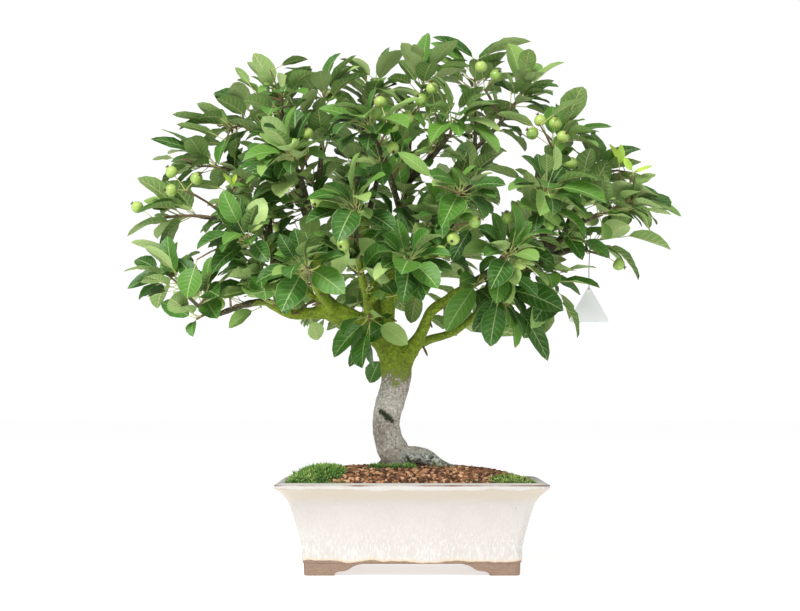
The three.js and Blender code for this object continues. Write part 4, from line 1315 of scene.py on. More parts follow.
# %% [markdown]
# ## Where the twigs grow
# The solids hold 35 sprays and 16 fruit bunches. Their twigs were laid out by rule: each grows
# from the nearest free place on a limb, and bows a little more at each try until it is clear of
# its neighbours. The same rule is worked through again here, and the solid of each spray says
# which try was kept, because the middle of its twig lies there. A bunch is listed with the tip
# of its spur and the middles of its apples.

# %% Twig plan
ROOT_SPACING, ROOT_STEP = 13, 6
TWIG_ATTEMPTS, TWIG_BOW_STEP, TWIG_RISE = 24, 1.6, 0.1
TWIG_RADIUS, TWIG_TIP_RADIUS = 2.4, 1.9
SPUR_RADIUS, SPUR_TIP_RADIUS = 2, 1.6
TURN_SEED = 3999
SPRAY_TIPS = [
    (-362, -44, 440), (-352, -10, 532), (-324, 30, 612), (-276, 44, 674),
    (-208, 40, 712), (-130, -30, 718), (-55, 30, 728), (20, -20, 744), (98, 40, 744), (168, -10, 718),
    (232, -50, 650), (290, -12, 600), (328, -60, 550), (306, -18, 500),
    (210, -62, 414), (138, -78, 396), (-62, -48, 372), (-300, -78, 408),
    (-238, -152, 490), (-152, -192, 446), (-82, -206, 532), (-4, -206, 456), (70, -202, 552),
    (140, -182, 466), (196, -152, 562), (-172, -152, 612), (-62, -166, 652), (62, -146, 660),
    (-254, 140, 562), (-166, 184, 480), (-88, 194, 584), (10, 200, 502), (-40, 160, 668),
    (90, 184, 612), (226, 132, 562),
]
BUNCHES = [
    ((-386, -30, 526), [(-412, -22, 545)]),
    ((-336, -62, 566), [(-357, -60, 594), (-356, -74, 566), (-318, -84, 582)]),
    ((-150, -138, 612), [(-152, -150, 641), (-170, -160, 624)]),
    ((-34, -136, 650), [
        (-46, -122, 690), (-52, -158, 668), (-28, -168, 650), (-6, -160, 664), (-28, -172, 618),
    ]),
    ((-126, -190, 556), [(-135, -215, 538)]),
    ((110, -30, 722), [(104, -42, 754), (126, -50, 740)]),
    ((34, -112, 676), [(30, -122, 710), (14, -134, 692)]),
    ((208, -78, 628), [
        (178, -92, 648), (190, -84, 668), (212, -82, 664), (222, -100, 642), (236, -76, 606),
    ]),
    ((64, -190, 496), [(88, -216, 508), (58, -216, 484), (40, -214, 466)]),
    ((142, -166, 486), [(136, -190, 516), (156, -166, 452)]),
    ((284, -56, 470), [(307, -60, 457)]),
    ((-268, -84, 408), [(-284, -78, 398)]),
    ((-88, -186, 488), [(-98, -214, 476)]),
    ((-196, 150, 524), [(-212, 176, 530), (-190, 180, 512)]),
    ((30, 178, 566), [(22, 208, 574), (44, 204, 558)]),
    ((176, 150, 524), [(190, 172, 510), (166, 180, 534)]),
]
print(len(SPRAY_TIPS), "sprays,", len(BUNCHES), "bunches")

# %% Places on the limbs
limb_places = []
for limb in LIMBS.values():
    ends = np.array(limb, dtype=float)
    for start, stop in zip(ends, ends[1:]):
        steps = math.ceil(np.linalg.norm(stop[:3] - start[:3]) / ROOT_STEP)
        limb_places += [start + (stop - start) * (k + 1) / steps for k in range(steps)]
root_places, root_radii = np.array(limb_places)[:, :3], np.array(limb_places)[:, 3]
used_roots = []
print(len(root_places), "places where a twig may grow")


# %% Twigs
def free_root(point):
    """The nearest place on a limb where no other twig grows close by."""
    distance = np.linalg.norm(root_places - point, axis=1)
    for used in used_roots:
        distance[np.linalg.norm(root_places - used, axis=1) <= ROOT_SPACING] = np.inf
    return root_places[np.argmin(distance)]


class Twig:
    """A twig's line, a curve from root to tip that is pulled aside at its middle, and its leaves."""

    def __init__(self, root, tip, bow):
        self.root, self.tip = np.asarray(root, float), np.asarray(tip, float)
        self.middle = (self.root + self.tip) / 2 + bow
        self.poses = []

    def point(self, t):
        return self.root * (1 - t) ** 2 + self.middle * 2 * t * (1 - t) + self.tip * t * t

    def along(self, t):
        return unit((self.middle - self.root) * (1 - t) + (self.tip - self.middle) * t)

    def line(self, parts):
        return [self.point(t) for t in np.linspace(0, 1, parts)]


def corner_tree(node):
    """Finds the solid's nearest corner to a point, in millimetres round the pot."""
    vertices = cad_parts[node].data.vertices
    tree = KDTree(len(vertices))
    for i, vertex in enumerate(vertices):
        tree.insert((vertex.co - POT_MIDDLE) / MM, i)
    tree.balance()
    return tree


def kept_twig(tip, node, start_radius, end_radius):
    """The try whose middle ring fits the solid best."""
    tip = np.array(tip, dtype=float)
    root = free_root(tip)
    used_roots.append(root)
    tree = corner_tree(node)
    radii = [start_radius, (start_radius + end_radius) / 2, end_radius]
    tries = []
    for attempt in range(TWIG_ATTEMPTS):
        bow = level(attempt * GOLDEN_ANGLE) * attempt * TWIG_BOW_STEP
        twig = Twig(root, tip, bow + UP * np.linalg.norm(tip - root) * TWIG_RISE)
        twig.node, twig.tree = node, tree
        middle_ring = sweep(twig.line(3), radii, 3)[0][3:6]
        twig.miss = sorted(tree.find(corner)[2] for corner in middle_ring)[1]
        tries.append(twig)
    return min(tries, key=lambda twig: twig.miss)


sprays, bunches = [], []
for number, tip in enumerate(SPRAY_TIPS, 1):
    twig = kept_twig(tip, f"leaf_spray_{number:02d}", TWIG_RADIUS, TWIG_TIP_RADIUS)
    twig.number, twig.turn = number, seeded(TURN_SEED + number)(0, 2 * math.pi)
    sprays.append(twig)
for number, (tip, _) in enumerate(BUNCHES, 1):
    bunches.append(kept_twig(tip, f"fruit_bunch_{number:02d}", SPUR_RADIUS, SPUR_TIP_RADIUS))


def tell_misses(what, misses):
    far = sum(miss > 0.5 for miss in misses)
    print(what, "found, the worst", round(max(misses), 2), "mm off, over 0.5 mm:", far)


tell_misses("twigs", [twig.miss for twig in sprays + bunches])

# %% [markdown]
# ## The leaves of the solids
# Each leaf has a pose: where its petiole starts and ends, the way the blade points and faces,
# its size, and how far it arches, folds and waves. The seven leaves of a spray follow each other
# down its twig a golden angle apart, as leaves do on a real shoot, so that none shades the next.
# Again the solid tells which try was kept: the blade's tip is one of its corners. What differs
# from shoot to shoot is a habit: how far apart the leaves stand, how they tilt, and their sizes.
# A habit's seeds are the first one, and what each twig and each place on it adds.

# %% Leaf poses
SOLID_HABIT = {
    "seeds": (0, 200, 16), "first": 0.98, "step": 0.115, "lead": 0, "sway": 0.4, "jump": 0.9,
    "tip_tilt": (0.1, 0.5), "tilt": (0.75, 1.25),
    "petiole": (15, 27), "length": (47, 70), "droop": (-0.4, 0.2), "slender": 0.6,
}
CROWN_MIDDLE = np.array((-12.0, 0, 450))
CROWN_REACH = np.array((400.0, 270, 330))
SOLID_BLADE = 0.8
MISSING_LEAF = 2.0
LEAVES_ON_SPRAY, LEAF_ATTEMPTS = 7, 14


def outwards(point):
    return unit((point - CROWN_MIDDLE) / CROWN_REACH ** 2)


def around(axis, turn, tilt):
    """A direction tilted off an axis, turned round it."""
    first = UP if abs(axis[2]) < 0.9 else ACROSS
    first = unit(first - axis * axis.dot(first))
    second = np.cross(axis, first)
    aside = first * math.cos(turn) + second * math.sin(turn)
    return axis * math.cos(tilt) + aside * math.sin(tilt)


def leaf_pose(twig, habit, place, attempt):
    """One try at a leaf of a twig. Chance is drawn in the order in which the solids drew it."""
    base_seed, twig_seed, place_seed = habit["seeds"]
    draw = seeded(base_seed + twig.number * twig_seed + place * place_seed + attempt)
    share = habit["first"] - habit["step"] * place
    turn = twig.turn + habit["lead"] + place * GOLDEN_ANGLE
    turn += draw(-habit["sway"], habit["sway"]) + attempt * habit["jump"]
    tilt = draw(*habit["tip_tilt" if place == 0 else "tilt"])
    root = twig.point(share)
    out = outwards(root)
    stalk = unit(around(twig.along(share), turn, tilt) + 0.35 * out)
    base = root + stalk * draw(*habit["petiole"])
    along = unit(stalk + UP * draw(*habit["droop"]))
    facing = UP * 0.8 + out * 0.55
    facing = facing + (draw(-0.45, 0.45), draw(-0.45, 0.45), draw(-0.1, 0.1))
    normal = unit(facing - along * facing.dot(along))
    length = draw(*habit["length"])
    return {
        "root": root, "base": base, "along": along, "normal": normal, "length": length,
        "width": length * habit["slender"] * draw(0.88, 1.12),
        "arch": draw(0.35, 0.95), "fold": draw(0.12, 0.42), "wave": draw(0.6, 1.8),
    }


def on_blade(pose, share, side, lift):
    """Points of an arched blade: share runs along it, side across, lift off its face."""
    share, side, lift = np.broadcast_arrays(share, side, lift)
    across = np.cross(pose["normal"], pose["along"])
    turn = pose["arch"] * share
    reach = pose["length"] / pose["arch"]
    spot = pose["base"] + np.multiply.outer(reach * np.sin(turn), pose["along"])
    spot = spot - np.multiply.outer(reach * (1 - np.cos(turn)), pose["normal"])
    face = np.multiply.outer(np.cos(turn), pose["normal"]) + np.multiply.outer(np.sin(turn), pose["along"])
    return spot + np.multiply.outer(side, across) + face * lift[..., None]


misses = []
tip_faces = np.array((SOLID_BLADE / 2, -SOLID_BLADE / 2))
for twig in sprays:
    for place in range(LEAVES_ON_SPRAY):
        tries = [leaf_pose(twig, SOLID_HABIT, place, attempt) for attempt in range(LEAF_ATTEMPTS)]
        found = [min(twig.tree.find(tip)[2] for tip in on_blade(pose, 1.0, 0.0, tip_faces)) for pose in tries]
        misses.append(min(found))
        if min(found) < MISSING_LEAF:
            twig.poses.append(tries[int(np.argmin(found))])
tell_misses("leaves", misses)

# %% [markdown]
# ## One blade
# The blade is modelled flat: a grid, narrowed to the outline of an apple leaf, broad in the
# middle and pointed. Two skins share the edge, so the leaf is closed, and each skin can have its
# own finish: deep green above, pale below. A thin petiole carries it. Then every leaf is this
# one, bent to its pose.

# %% Blade template
STATIONS = (0.0, 0.1, 0.27, 0.47, 0.68, 0.87, 1.0)
ACROSS_BLADE = (-1.0, -0.55, 0.0, 0.55, 1.0)
columns, rows = len(ACROSS_BLADE) - 1, len(STATIONS) - 1
picked()
bpy.ops.mesh.primitive_grid_add(x_subdivisions=columns, y_subdivisions=rows, size=1)
flat_points, grid_faces = shape_of(bpy.context.object)
grid_points = [(ACROSS_BLADE[round((x + 0.5) * columns)], STATIONS[round((y + 0.5) * rows)])
               for x, y, _ in flat_points]


def two_skins():
    """The grid's points and faces as a closed leaf: the ends shut to a point, the edge shared."""
    points, keys = [], {}

    def index(u, v, skin):
        if v in (0.0, 1.0):
            u, skin = 0.0, 0
        elif abs(u) == 1:
            skin = 0
        key = (u, v, skin)
        if key not in keys:
            keys[key] = len(points)
            points.append(key)
        return keys[key]

    faces, sides = [], []
    for side, skin in enumerate((1, -1)):
        for face in grid_faces:
            corners = list(dict.fromkeys(index(*grid_points[i], skin) for i in face))
            faces.append(tuple(corners if skin == 1 else corners[:1] + corners[:0:-1]))
            sides.append(side)
    return np.array(points), faces, sides


BLADE_POINTS, BLADE_FACES, BLADE_SIDES = two_skins()
BLADE_UVS = np.stack(((BLADE_POINTS[:, 0] + 1) / 2, BLADE_POINTS[:, 1]), axis=1)
BLADE_THIN = 0.22
PETIOLE_SIDES, PETIOLE_RADIUS = 4, 0.65
STALK_SLOT, TWIG_SLOT = 2, 3
BARK_REPEAT = 30


def half_width(share):
    return np.sin(math.pi * np.clip(share, 0, 1) ** 0.9) ** 0.68


def bent_blade(pose, points=BLADE_POINTS):
    """The template's points on the pose's blade."""
    u, v, skin = points.T
    width = pose["width"] / 2 * half_width(v)
    wave = np.sign(u) * pose["wave"] * np.cos(math.pi * (v - 0.22) / 0.3) * u * u
    lift = width * math.sin(pose["fold"]) * np.abs(u) ** 1.4 + wave * half_width(v) + skin * BLADE_THIN
    return on_blade(pose, v, u * width * math.cos(pose["fold"]), lift)


def add_round(gathered, path, radii, sides, tone, slot):
    """A twig, petiole or stalk, swept along its line."""
    points, faces, uvs = sweep(path, radii, sides)
    gathered.add(points, faces, uvs / BARK_REPEAT, tone, slot)


def add_leaf(gathered, pose, tone):
    """A blade with its petiole, which bends gently, runs on under the midrib and fades there."""
    gathered.add(bent_blade(pose), BLADE_FACES, BLADE_UVS, tone, BLADE_SIDES)
    midrib = on_blade(pose, np.array((0.02, 0.3, 0.62)), 0.0, np.array((-0.35, -0.35, -0.3)))
    sag = np.array((0, 0, -0.04 * np.linalg.norm(pose["base"] - pose["root"])))
    middle = (pose["root"] + pose["base"]) / 2 + sag
    radii = np.array((1.25, 1, 1, 0.62, 0.3)) * PETIOLE_RADIUS
    add_round(gathered, np.vstack((pose["root"], middle, midrib)), radii, PETIOLE_SIDES, tone, STALK_SLOT)


print("blade template", len(BLADE_FACES), "faces")

# %% [markdown]
# ## More leaves
# The solids carry about a sixth of the leaves. The rest are grown here by the same rule: between
# the leaves of each spray, and as rosettes on short spurs all along the limbs. A leaf is kept
# when its blade is clear of the wood, the fruit and all leaves before it, which a tree of
# bounding boxes tests quickly.

# %% Room for a leaf
def body_of(pose):
    """A blade's faces in a tree, with its middle and its reach."""
    points = bent_blade(pose)
    centre = points.mean(axis=0)
    tree = BVHTree.FromPolygons(points.tolist(), BLADE_FACES)
    return tree, centre, np.linalg.norm(points - centre, axis=1).max()


class Crown:
    """What stands in the crown already, and whether a new blade is clear of it."""

    def __init__(self, nodes):
        points, faces = [], []
        for name in nodes:
            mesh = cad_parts[name].data
            start = len(points)
            points += [(v.co - POT_MIDDLE) / MM for v in mesh.vertices]
            faces += [tuple(i + start for i in p.vertices) for p in mesh.polygons]
        self.solid = BVHTree.FromPolygons(points, faces)
        self.trees, self.centres, self.reaches = [], [], []

    def take(self, body):
        for kept, value in zip((self.trees, self.centres, self.reaches), body):
            kept.append(value)

    def has_room(self, pose):
        """Takes the blade in if it is clear."""
        body = body_of(pose)
        tree, centre, reach = body
        gaps = np.linalg.norm(np.array(self.centres) - centre, axis=1) - np.array(self.reaches) - reach
        near = [self.solid] + [self.trees[i] for i in np.nonzero(gaps < 0)[0]]
        clear = not any(tree.overlap(other) for other in near)
        if clear:
            self.take(body)
        return clear


crown = Crown(["trunk", "tag_thread", "name_tag"] + [twig.node for twig in bunches])
for twig in sprays:
    for pose in twig.poses:
        crown.take(body_of(pose))
print(len(crown.trees), "blades in the crown")

# %% [markdown]
# ## What stays in view
# The crown is pruned to an outline, seen from the front, from the left round over the top. The
# fork and the lowest limbs stay bare in front, and so does the tag.

# %% Pruning
CROWN_OUTLINE = [
    (-432, 425), (-440, 472), (-418, 505), (-408, 560), (-392, 652), (-336, 706), (-288, 752),
    (-190, 782), (-120, 752), (-70, 792), (0, 800), (40, 822), (180, 812), (222, 772), (262, 720),
    (270, 668), (322, 656), (398, 604), (402, 545), (352, 508), (300, 470), (262, 430), (238, 338),
    (206, 318), (150, 352), (92, 350), (40, 362), (-22, 366), (-80, 352), (-150, 368), (-212, 366),
    (-262, 350), (-340, 356), (-372, 382),
]
BARE_WINDOWS = [
    [(-160, 372), (-172, 444), (-116, 466), (-104, 452), (-66, 452), (-66, 408), (20, 404), (24, 380),
     (70, 410), (104, 396), (40, 340), (-2, 300), (-50, 300)],
    [(-322, 372), (-322, 398), (-254, 410), (-160, 404), (-160, 368)],
    [(256, 452), (216, 352), (302, 352), (276, 452)],
]
FRONT_DEPTH, BOX_MARGIN = 10, 4
box_low, box_high = ((np.array(corner) - SHIFT) / MM for corner in CAD_BOX)


def from_front(points):
    """Where points are seen from the camera, carried onto the upright plane through the pot."""
    share = -EYE[1] / (points[:, 1] - EYE[1])
    return EYE[[0, 2]] + (points[:, [0, 2]] - EYE[[0, 2]]) * share[:, None]


def pruned(pose):
    """Whether a blade stays inside the outline and the box, and leaves the fork to be seen."""
    points = bent_blade(pose)
    if (points < box_low - BOX_MARGIN).any() or (points > box_high + BOX_MARGIN).any():
        return False
    seen = from_front(points)
    outside = sum(not within(CROWN_OUTLINE, x, z) for x, z in seen[::4])
    covering = points[:, 1].min() < FRONT_DEPTH and any(
        within(window, x, z) for window in BARE_WINDOWS for x, z in seen[::3])
    return outside <= 1 and not covering


# %% [markdown]
# ## The leaves that draw the outline
# Some leaves are known one by one: those that stand out against the sky round the crown's rim,
# the big ones that hang low over the limbs, and a few young shoots. Each is listed as it is seen
# from the front, from its base to its tip, in millimetres on the upright plane through the pot,
# with its breadth as a share of its length and the side that it shows. How deep it lies in the
# crown is found: where the nearest wood is, and where it is clear of everything.

# %% Leaves known one by one
UNDER, OVER, YOUNG = "under", "over", "young"
KNOWN_LEAVES = [
    # rim, left
    (-197, 763, -157, 772, 0.5, UNDER), (-187, 721, -203, 752, 0.62, UNDER),
    (-166, 690, -141, 725, 0.72, UNDER), (-216, 737, -250, 768, 0.5, UNDER),
    (-246, 735, -268, 760, 0.5, UNDER), (-275, 717, -301, 719, 0.5, OVER),
    (-278, 673, -326, 705, 0.5, UNDER), (-305, 678, -363, 688, 0.34, UNDER),
    (-297, 657, -357, 673, 0.3, UNDER), (-286, 643, -354, 646, 0.3, UNDER),
    (-335, 634, -396, 651, 0.36, OVER), (-313, 618, -365, 616, 0.36, UNDER),
    (-362, 622, -393, 619, 0.36, UNDER), (-289, 576, -354, 582, 0.34, UNDER),
    (-206, 700, -246, 716, 0.42, UNDER),
    # rim, middle
    (-52, 751, -33, 791, 0.3, OVER), (-63, 748, -96, 771, 0.6, UNDER),
    (-68, 731, -127, 742, 0.42, OVER), (-82, 678, -141, 697, 0.45, OVER),
    (93, 775, 31, 806, 0.34, OVER), (82, 762, 28, 797, 0.42, OVER), (74, 754, 31, 775, 0.4, OVER),
    (111, 778, 182, 799, 0.36, UNDER), (117, 740, 162, 719, 0.42, OVER),
    # rim, right
    (169, 713, 217, 740, 0.45, UNDER), (210, 684, 260, 712, 0.32, UNDER),
    (173, 700, 231, 682, 0.36, UNDER), (185, 670, 128, 689, 0.42, UNDER),
    (293, 605, 303, 636, 0.6, OVER), (295, 592, 360, 589, 0.3, UNDER), (306, 574, 374, 568, 0.3, OVER),
    (352, 543, 394, 535, 0.34, UNDER), (282, 570, 357, 530, 0.5, UNDER),
    (262, 495, 300, 470, 0.6, OVER),
    # low
    (164, 390, 206, 314, 0.36, OVER), (158, 420, 230, 390, 0.66, OVER),
    (147, 403, 129, 363, 0.95, OVER), (94, 425, 52, 358, 0.5, OVER), (-226, 452, -220, 406, 1, OVER),
    (-200, 428, -188, 384, 0.6, OVER), (-328, 455, -339, 409, 0.85, OVER),
    (-241, 390, -276, 364, 0.6, OVER), (-37, 369, -76, 342, 0.7, OVER), (-78, 334, -94, 305, 0.5, OVER),
    (-49, 314, -63, 281, 0.8, OVER), (-7, 429, -13, 402, 0.9, OVER), (-365, 452, -430, 423, 0.4, OVER),
    (-368, 477, -425, 494, 0.4, UNDER), (-362, 455, -405, 488, 0.45, UNDER),
    (-150, 373, -141, 346, 0.9, UNDER),
    # in the crown
    (28, 594, -22, 631, 0.4, OVER), (164, 591, 114, 606, 0.5, UNDER), (-188, 533, -254, 541, 0.5, OVER),
    (-168, 503, -226, 492, 0.5, OVER), (-29, 518, -75, 486, 0.6, OVER),
    (-100, 489, -113, 443, 0.6, OVER), (-14, 482, 28, 434, 0.7, OVER), (88, 512, 61, 464, 0.5, OVER),
    # young
    (-272, 580, -265, 600, 0.3, YOUNG), (-272, 580, -286, 600, 0.3, YOUNG),
    (-242, 587, -222, 623, 0.22, YOUNG), (320, 611, 299, 644, 0.26, YOUNG),
    (315, 613, 317, 643, 0.5, YOUNG), (334, 603, 322, 623, 0.45, YOUNG),
    (337, 600, 365, 610, 0.22, YOUNG),
]
print(len(KNOWN_LEAVES), "known leaves")

# %% Shoots for the known leaves
SHOOT_REACH, PETIOLE_AT_SHOOT, FRONT_FIRST = 95, 17, 0.06
LOWEST_SHOOT = 300
DEPTHS = range(-210, 211, 14)

wood_spots = [place for place in root_places if place[2] > LOWEST_SHOOT]
wood_spots += [twig.point(t) for twig in sprays + bunches for t in np.linspace(0.2, 1, 9)]
wood_spots = np.array(wood_spots)


def carried_back(x, z, depth):
    """The place at a depth that is seen from the front at x, z."""
    return EYE + (np.array((x, 0, z)) - EYE) * (depth - EYE[1]) / -EYE[1]


def known_leaf(base_x, base_z, tip_x, tip_z, breadth, side, depth, draw):
    """The pose that takes a blade from its base to its tip."""
    base, tip = carried_back(base_x, base_z, depth), carried_back(tip_x, tip_z, depth + draw(-8, 8))
    chord = unit(tip - base)
    facing = UP * 0.75 + np.array((0, 0.55 if side == UNDER else -0.9, 0)) + outwards(base) * 0.2
    if side == YOUNG:
        facing = np.array((draw(-0.6, 0.6), -1, 0.2))
    normal = unit(facing - chord * facing.dot(chord))
    arch = draw(0.3, 0.7)
    along = chord * math.cos(arch / 2) + normal * math.sin(arch / 2)
    normal = normal * math.cos(arch / 2) - chord * math.sin(arch / 2)
    length = np.linalg.norm(tip - base) * arch / (2 * math.sin(arch / 2))
    root = base - chord * PETIOLE_AT_SHOOT * (0.4 if side == YOUNG else 1) - UP * 4
    return {
        "root": root, "base": base, "along": along, "normal": normal, "length": length,
        "width": length * breadth, "arch": arch, "fold": draw(0.1, 0.35), "wave": draw(0.5, 1.5),
    }


known = []
for number, leaf in enumerate(KNOWN_LEAVES):
    choices = []
    for depth in DEPTHS:
        pose = known_leaf(*leaf, depth, seeded(20000 + number))
        far = np.linalg.norm(wood_spots - pose["root"], axis=1)
        if far.min() < SHOOT_REACH:
            choices.append((far.min() + depth * FRONT_FIRST, wood_spots[np.argmin(far)], pose))
    for _, wood, pose in sorted(choices, key=lambda choice: choice[0]):
        if crown.has_room(pose):
            known.append((pose, wood, leaf[-1]))
            break
print(len(known), "of", len(KNOWN_LEAVES), "known leaves placed")

# %% Leaves between the leaves of each spray
BETWEEN_HABIT = {
    "seeds": (30000, 300, 20), "first": 0.93, "step": 0.095, "lead": 1.2, "sway": 0.5, "jump": 0.8,
    "tip_tilt": (0.6, 1.3), "tilt": (0.6, 1.3),
    "petiole": (13, 34), "length": (32, 60), "droop": (-0.35, 0.4), "slender": 0.66,
}
BETWEEN_PLACES, BETWEEN_ATTEMPTS = 9, 12


def grow(twig, habit, places, attempts):
    """At each place the first leaf of several tries that has room, or none."""
    for place in range(places):
        for attempt in range(attempts):
            pose = leaf_pose(twig, habit, place, attempt)
            if pruned(pose) and crown.has_room(pose):
                twig.poses.append(pose)
                break


before = len(crown.trees)
for twig in sprays:
    grow(twig, BETWEEN_HABIT, BETWEEN_PLACES, BETWEEN_ATTEMPTS)
print(len(crown.trees) - before, "leaves more on the sprays")

# %% Spurs along the limbs
ROSETTE_HABIT = {
    **BETWEEN_HABIT, "seeds": (70000, 200, 20), "first": 1, "step": 0.05, "lead": 0, "sway": 0.4,
    "jump": 0.7, "tip_tilt": (0.35, 1.35), "tilt": (0.35, 1.35), "petiole": (12, 30), "length": (30, 58),
}
ROSETTE_PLACES, ROSETTE_ATTEMPTS = 7, 9
THICKEST_SPURRED, LOWEST_SPUR = 9.5, 335
SPUR_SPACING, LEFT_SPUR_SPACING, LEFT_SIDE = 23, 19, -150

spurs = []
spur_draw = seeded(9001)
order = sorted(range(len(root_places)), key=lambda _: spur_draw(0, 1))
for i in order:
    place, radius = root_places[i], root_radii[i]
    near = min(np.linalg.norm(np.array(used_roots) - place, axis=1))
    spacing = LEFT_SPUR_SPACING if place[0] < LEFT_SIDE else SPUR_SPACING
    if radius > THICKEST_SPURRED or place[2] < LOWEST_SPUR or near < spacing:
        continue
    used_roots.append(place)
    draw = seeded(50000 + i)
    out = unit(outwards(place) + (draw(-0.7, 0.7), draw(-0.7, 0.7), draw(-0.3, 0.7)))
    length = radius + draw(6, 26)
    spur = Twig(place, place + out * length, UP * length * 0.12)
    spur.turn, spur.number = draw(0, FULL_TURN), i
    spurs.append(spur)
for spur in spurs:
    grow(spur, ROSETTE_HABIT, ROSETTE_PLACES, ROSETTE_ATTEMPTS)
print(len(spurs), "spurs with", sum(len(spur.poses) for spur in spurs), "leaves")

# %% [markdown]
# ## Leaf finish
# An apple leaf is deep green and a little glossy above, with fine pale veins that leave the
# midrib in pairs and curve towards the tip. Below it is pale and matt, with raised veins. Both
# sides share the same net of veins, so it is a node group that reads the blade's own UVs: u
# across, v from base to tip.

# %% Veins
VEIN_PAIRS, VEIN_CURVE, VEIN_SLANT, LEFT_SHIFT = 7.5, 1.35, 0.2, 0.45
VEIN_PARTS = ("Vein", "Midrib", "Margin", "Quilt")


def vein_group():
    """Masks of the veins, the midrib and the margin, and the puffed leaf between the veins."""
    group, (pairs, shift) = new_group("leaf_veins", {"Pairs": "Float", "Shift": "Float"}, VEIN_PARTS)
    uv = output(group, "UV", "ShaderNodeUVMap", {"uv_map": "UVMap"})
    across = abs(uv.axis("X") - 0.5) * 2.0
    left = uv.axis("X").math("GREATER_THAN", 0.5)
    row = (uv.axis("Y") - across ** VEIN_CURVE * VEIN_SLANT) * pairs + shift + left * LEFT_SHIFT
    wave = abs(row.math("FRACT") - 0.5)
    put(group, "NodeGroupOutput",
        Vein=wave.fall(0.02, 0.13) * across.fall(0.55, 0.98), Midrib=across.fall(0.02, 0.075),
        Margin=across.rise(0.9, 1.0), Quilt=wave * 2.0)
    return group


VEINS = vein_group()
print("veins in", VEIN_PAIRS, "pairs")

# %% Leaf finishes
# Leaf greens by tone: the darkest is painted darker than a leaf is, for the shade inside the crown.
UPPER_GREENS = [
    (0.0, (22, 62, 6)), (0.35, (58, 108, 26)), (0.62, (100, 146, 52)), (0.9, (172, 196, 118)),
    (0.95, (164, 202, 58)), (1.0, (196, 222, 78)),
]
UNDER_GREENS = [(0.0, (98, 134, 60)), (0.5, (138, 170, 94)), (0.9, (178, 202, 132)), (1.0, (198, 218, 112))]


def veined(finish):
    """The tone of a leaf, and its masks. The tone also shifts the veins from leaf to leaf."""
    tone = finish.tone()
    veins = put(finish.tree, "ShaderNodeGroup", {"node_tree": VEINS}, Pairs=VEIN_PAIRS, Shift=tone * 5.0)
    return tone, [Value(finish.tree, veins.outputs[part]) for part in VEIN_PARTS]


def leaf_upper():
    finish = Finish("leaf_upper", 0.4, Specular_IOR_Level=0.26)
    tone, (vein, midrib, margin, quilt) = veined(finish)
    fine = finish.noise(700)
    body = layered(
        finish.ramp(tone, UPPER_GREENS),
        # Painted sheen: pale grey-green patches where the glossy blade would reflect the sky.
        (finish.noise(55).rise(0.35, 0.75) * 0.3, (112, 152, 92)),
        (vein * 0.3, (150, 182, 112)),
        (midrib * 0.55, (184, 204, 138)),
        # Painted highlight: a paler rim along the blade's edge.
        (margin * 0.4, (166, 190, 124)),
    )
    finish.give(Roughness=fine * 0.2 + 0.34)
    return finish.done(body, quilt ** 0.5 * 0.8 + midrib * 0.8 - fine * 0.25, 0.5, 0.0006)


def leaf_under():
    finish = Finish("leaf_under", 0.68, Specular_IOR_Level=0.15)
    tone, (vein, midrib, _, _) = veined(finish)
    net = finish.net(420.0, 0.14)
    body = layered(
        finish.ramp(tone, UNDER_GREENS),
        (net * 0.2, (176, 196, 142)),
        (vein * 0.7, (192, 206, 150)),
        (midrib, (206, 212, 156)),
    )
    return finish.done(body, vein + net * 0.3, 0.6, 0.0007)


def stalk_finish():
    finish = Finish("petiole", 0.5)
    soft = finish.noise(120, 2)
    body = layered(mix(soft, (168, 186, 92), (206, 206, 140)), (finish.tone() * 0.3, (150, 130, 84)))
    return finish.done(body, soft, 0.2, 0.0003)


def twig_finish():
    finish = Finish("twig_bark", 0.75)
    fine = finish.noise(600, 4)
    body = layered(
        mix(finish.noise(90), (86, 66, 44), (132, 112, 78)),
        (fine.rise(0.5, 0.7) * 0.5, (160, 140, 104)),
        (finish.flecks(480, 0.4), (196, 186, 150)),
    )
    return finish.done(body, fine, 0.6, 0.0008)


STALK_FINISH, TWIG_FINISH = stalk_finish(), twig_finish()
LEAF_FINISHES = [leaf_upper(), leaf_under(), STALK_FINISH, TWIG_FINISH]
print(len(LEAF_FINISHES), "finishes on a spray")

# %% [markdown]
# ## Dressing the sprays
# Each spray becomes one piece: its twig, swept with small swellings where leaves once stood,
# and its leaves. A leaf's tone is drawn by chance, most of them dark, a few light, and the
# young shoots of the outline yellow green.

# %% Sprays
LONG_TWIG, SHORT_TWIG, TWIG_SIDES, TWIG_TONE = 9, 5, 6, 0.4
BUD, BUD_RADIUS = 2.2, 0.35
SPRAY_TIP_RADIUS = 1.3
LEAF_SHARP = 50


def add_twig(gathered, twig, start_radius, end_radius, seed, parts=SHORT_TWIG):
    """A twig with small swellings, that ends in a bud."""
    draw = seeded(seed)
    radii = [start_radius + (end_radius - start_radius) * t + (draw(0.1, 0.5) if k % 2 else 0)
             for k, t in enumerate(np.linspace(0, 1, parts))]
    path = twig.line(parts) + [twig.tip + twig.along(1) * BUD]
    add_round(gathered, path, radii + [end_radius * BUD_RADIUS], TWIG_SIDES, TWIG_TONE, TWIG_SLOT)


def leaf_tone(draw):
    """Most leaves are dark, a few light: the brightest tones are kept for the young shoots."""
    return 0.05 + 0.85 * draw(0, 1) ** 1.2


def leafy_piece(gathered, name, solid=None):
    piece = gathered.piece(name, LEAF_FINISHES, LEAF_SHARP)
    belongs(piece, solid)
    return piece


for twig in sprays:
    spray = Gathered()
    add_twig(spray, twig, TWIG_RADIUS, SPRAY_TIP_RADIUS, 800 + twig.number, LONG_TWIG)
    draw = seeded(900 + twig.number)
    for pose in twig.poses:
        add_leaf(spray, pose, leaf_tone(draw))
    leafy_piece(spray, twig.node.replace("leaf_spray", "spray_of_leaves"), twig.node)
print(sum(len(twig.poses) for twig in sprays), "leaves on", len(sprays), "sprays")

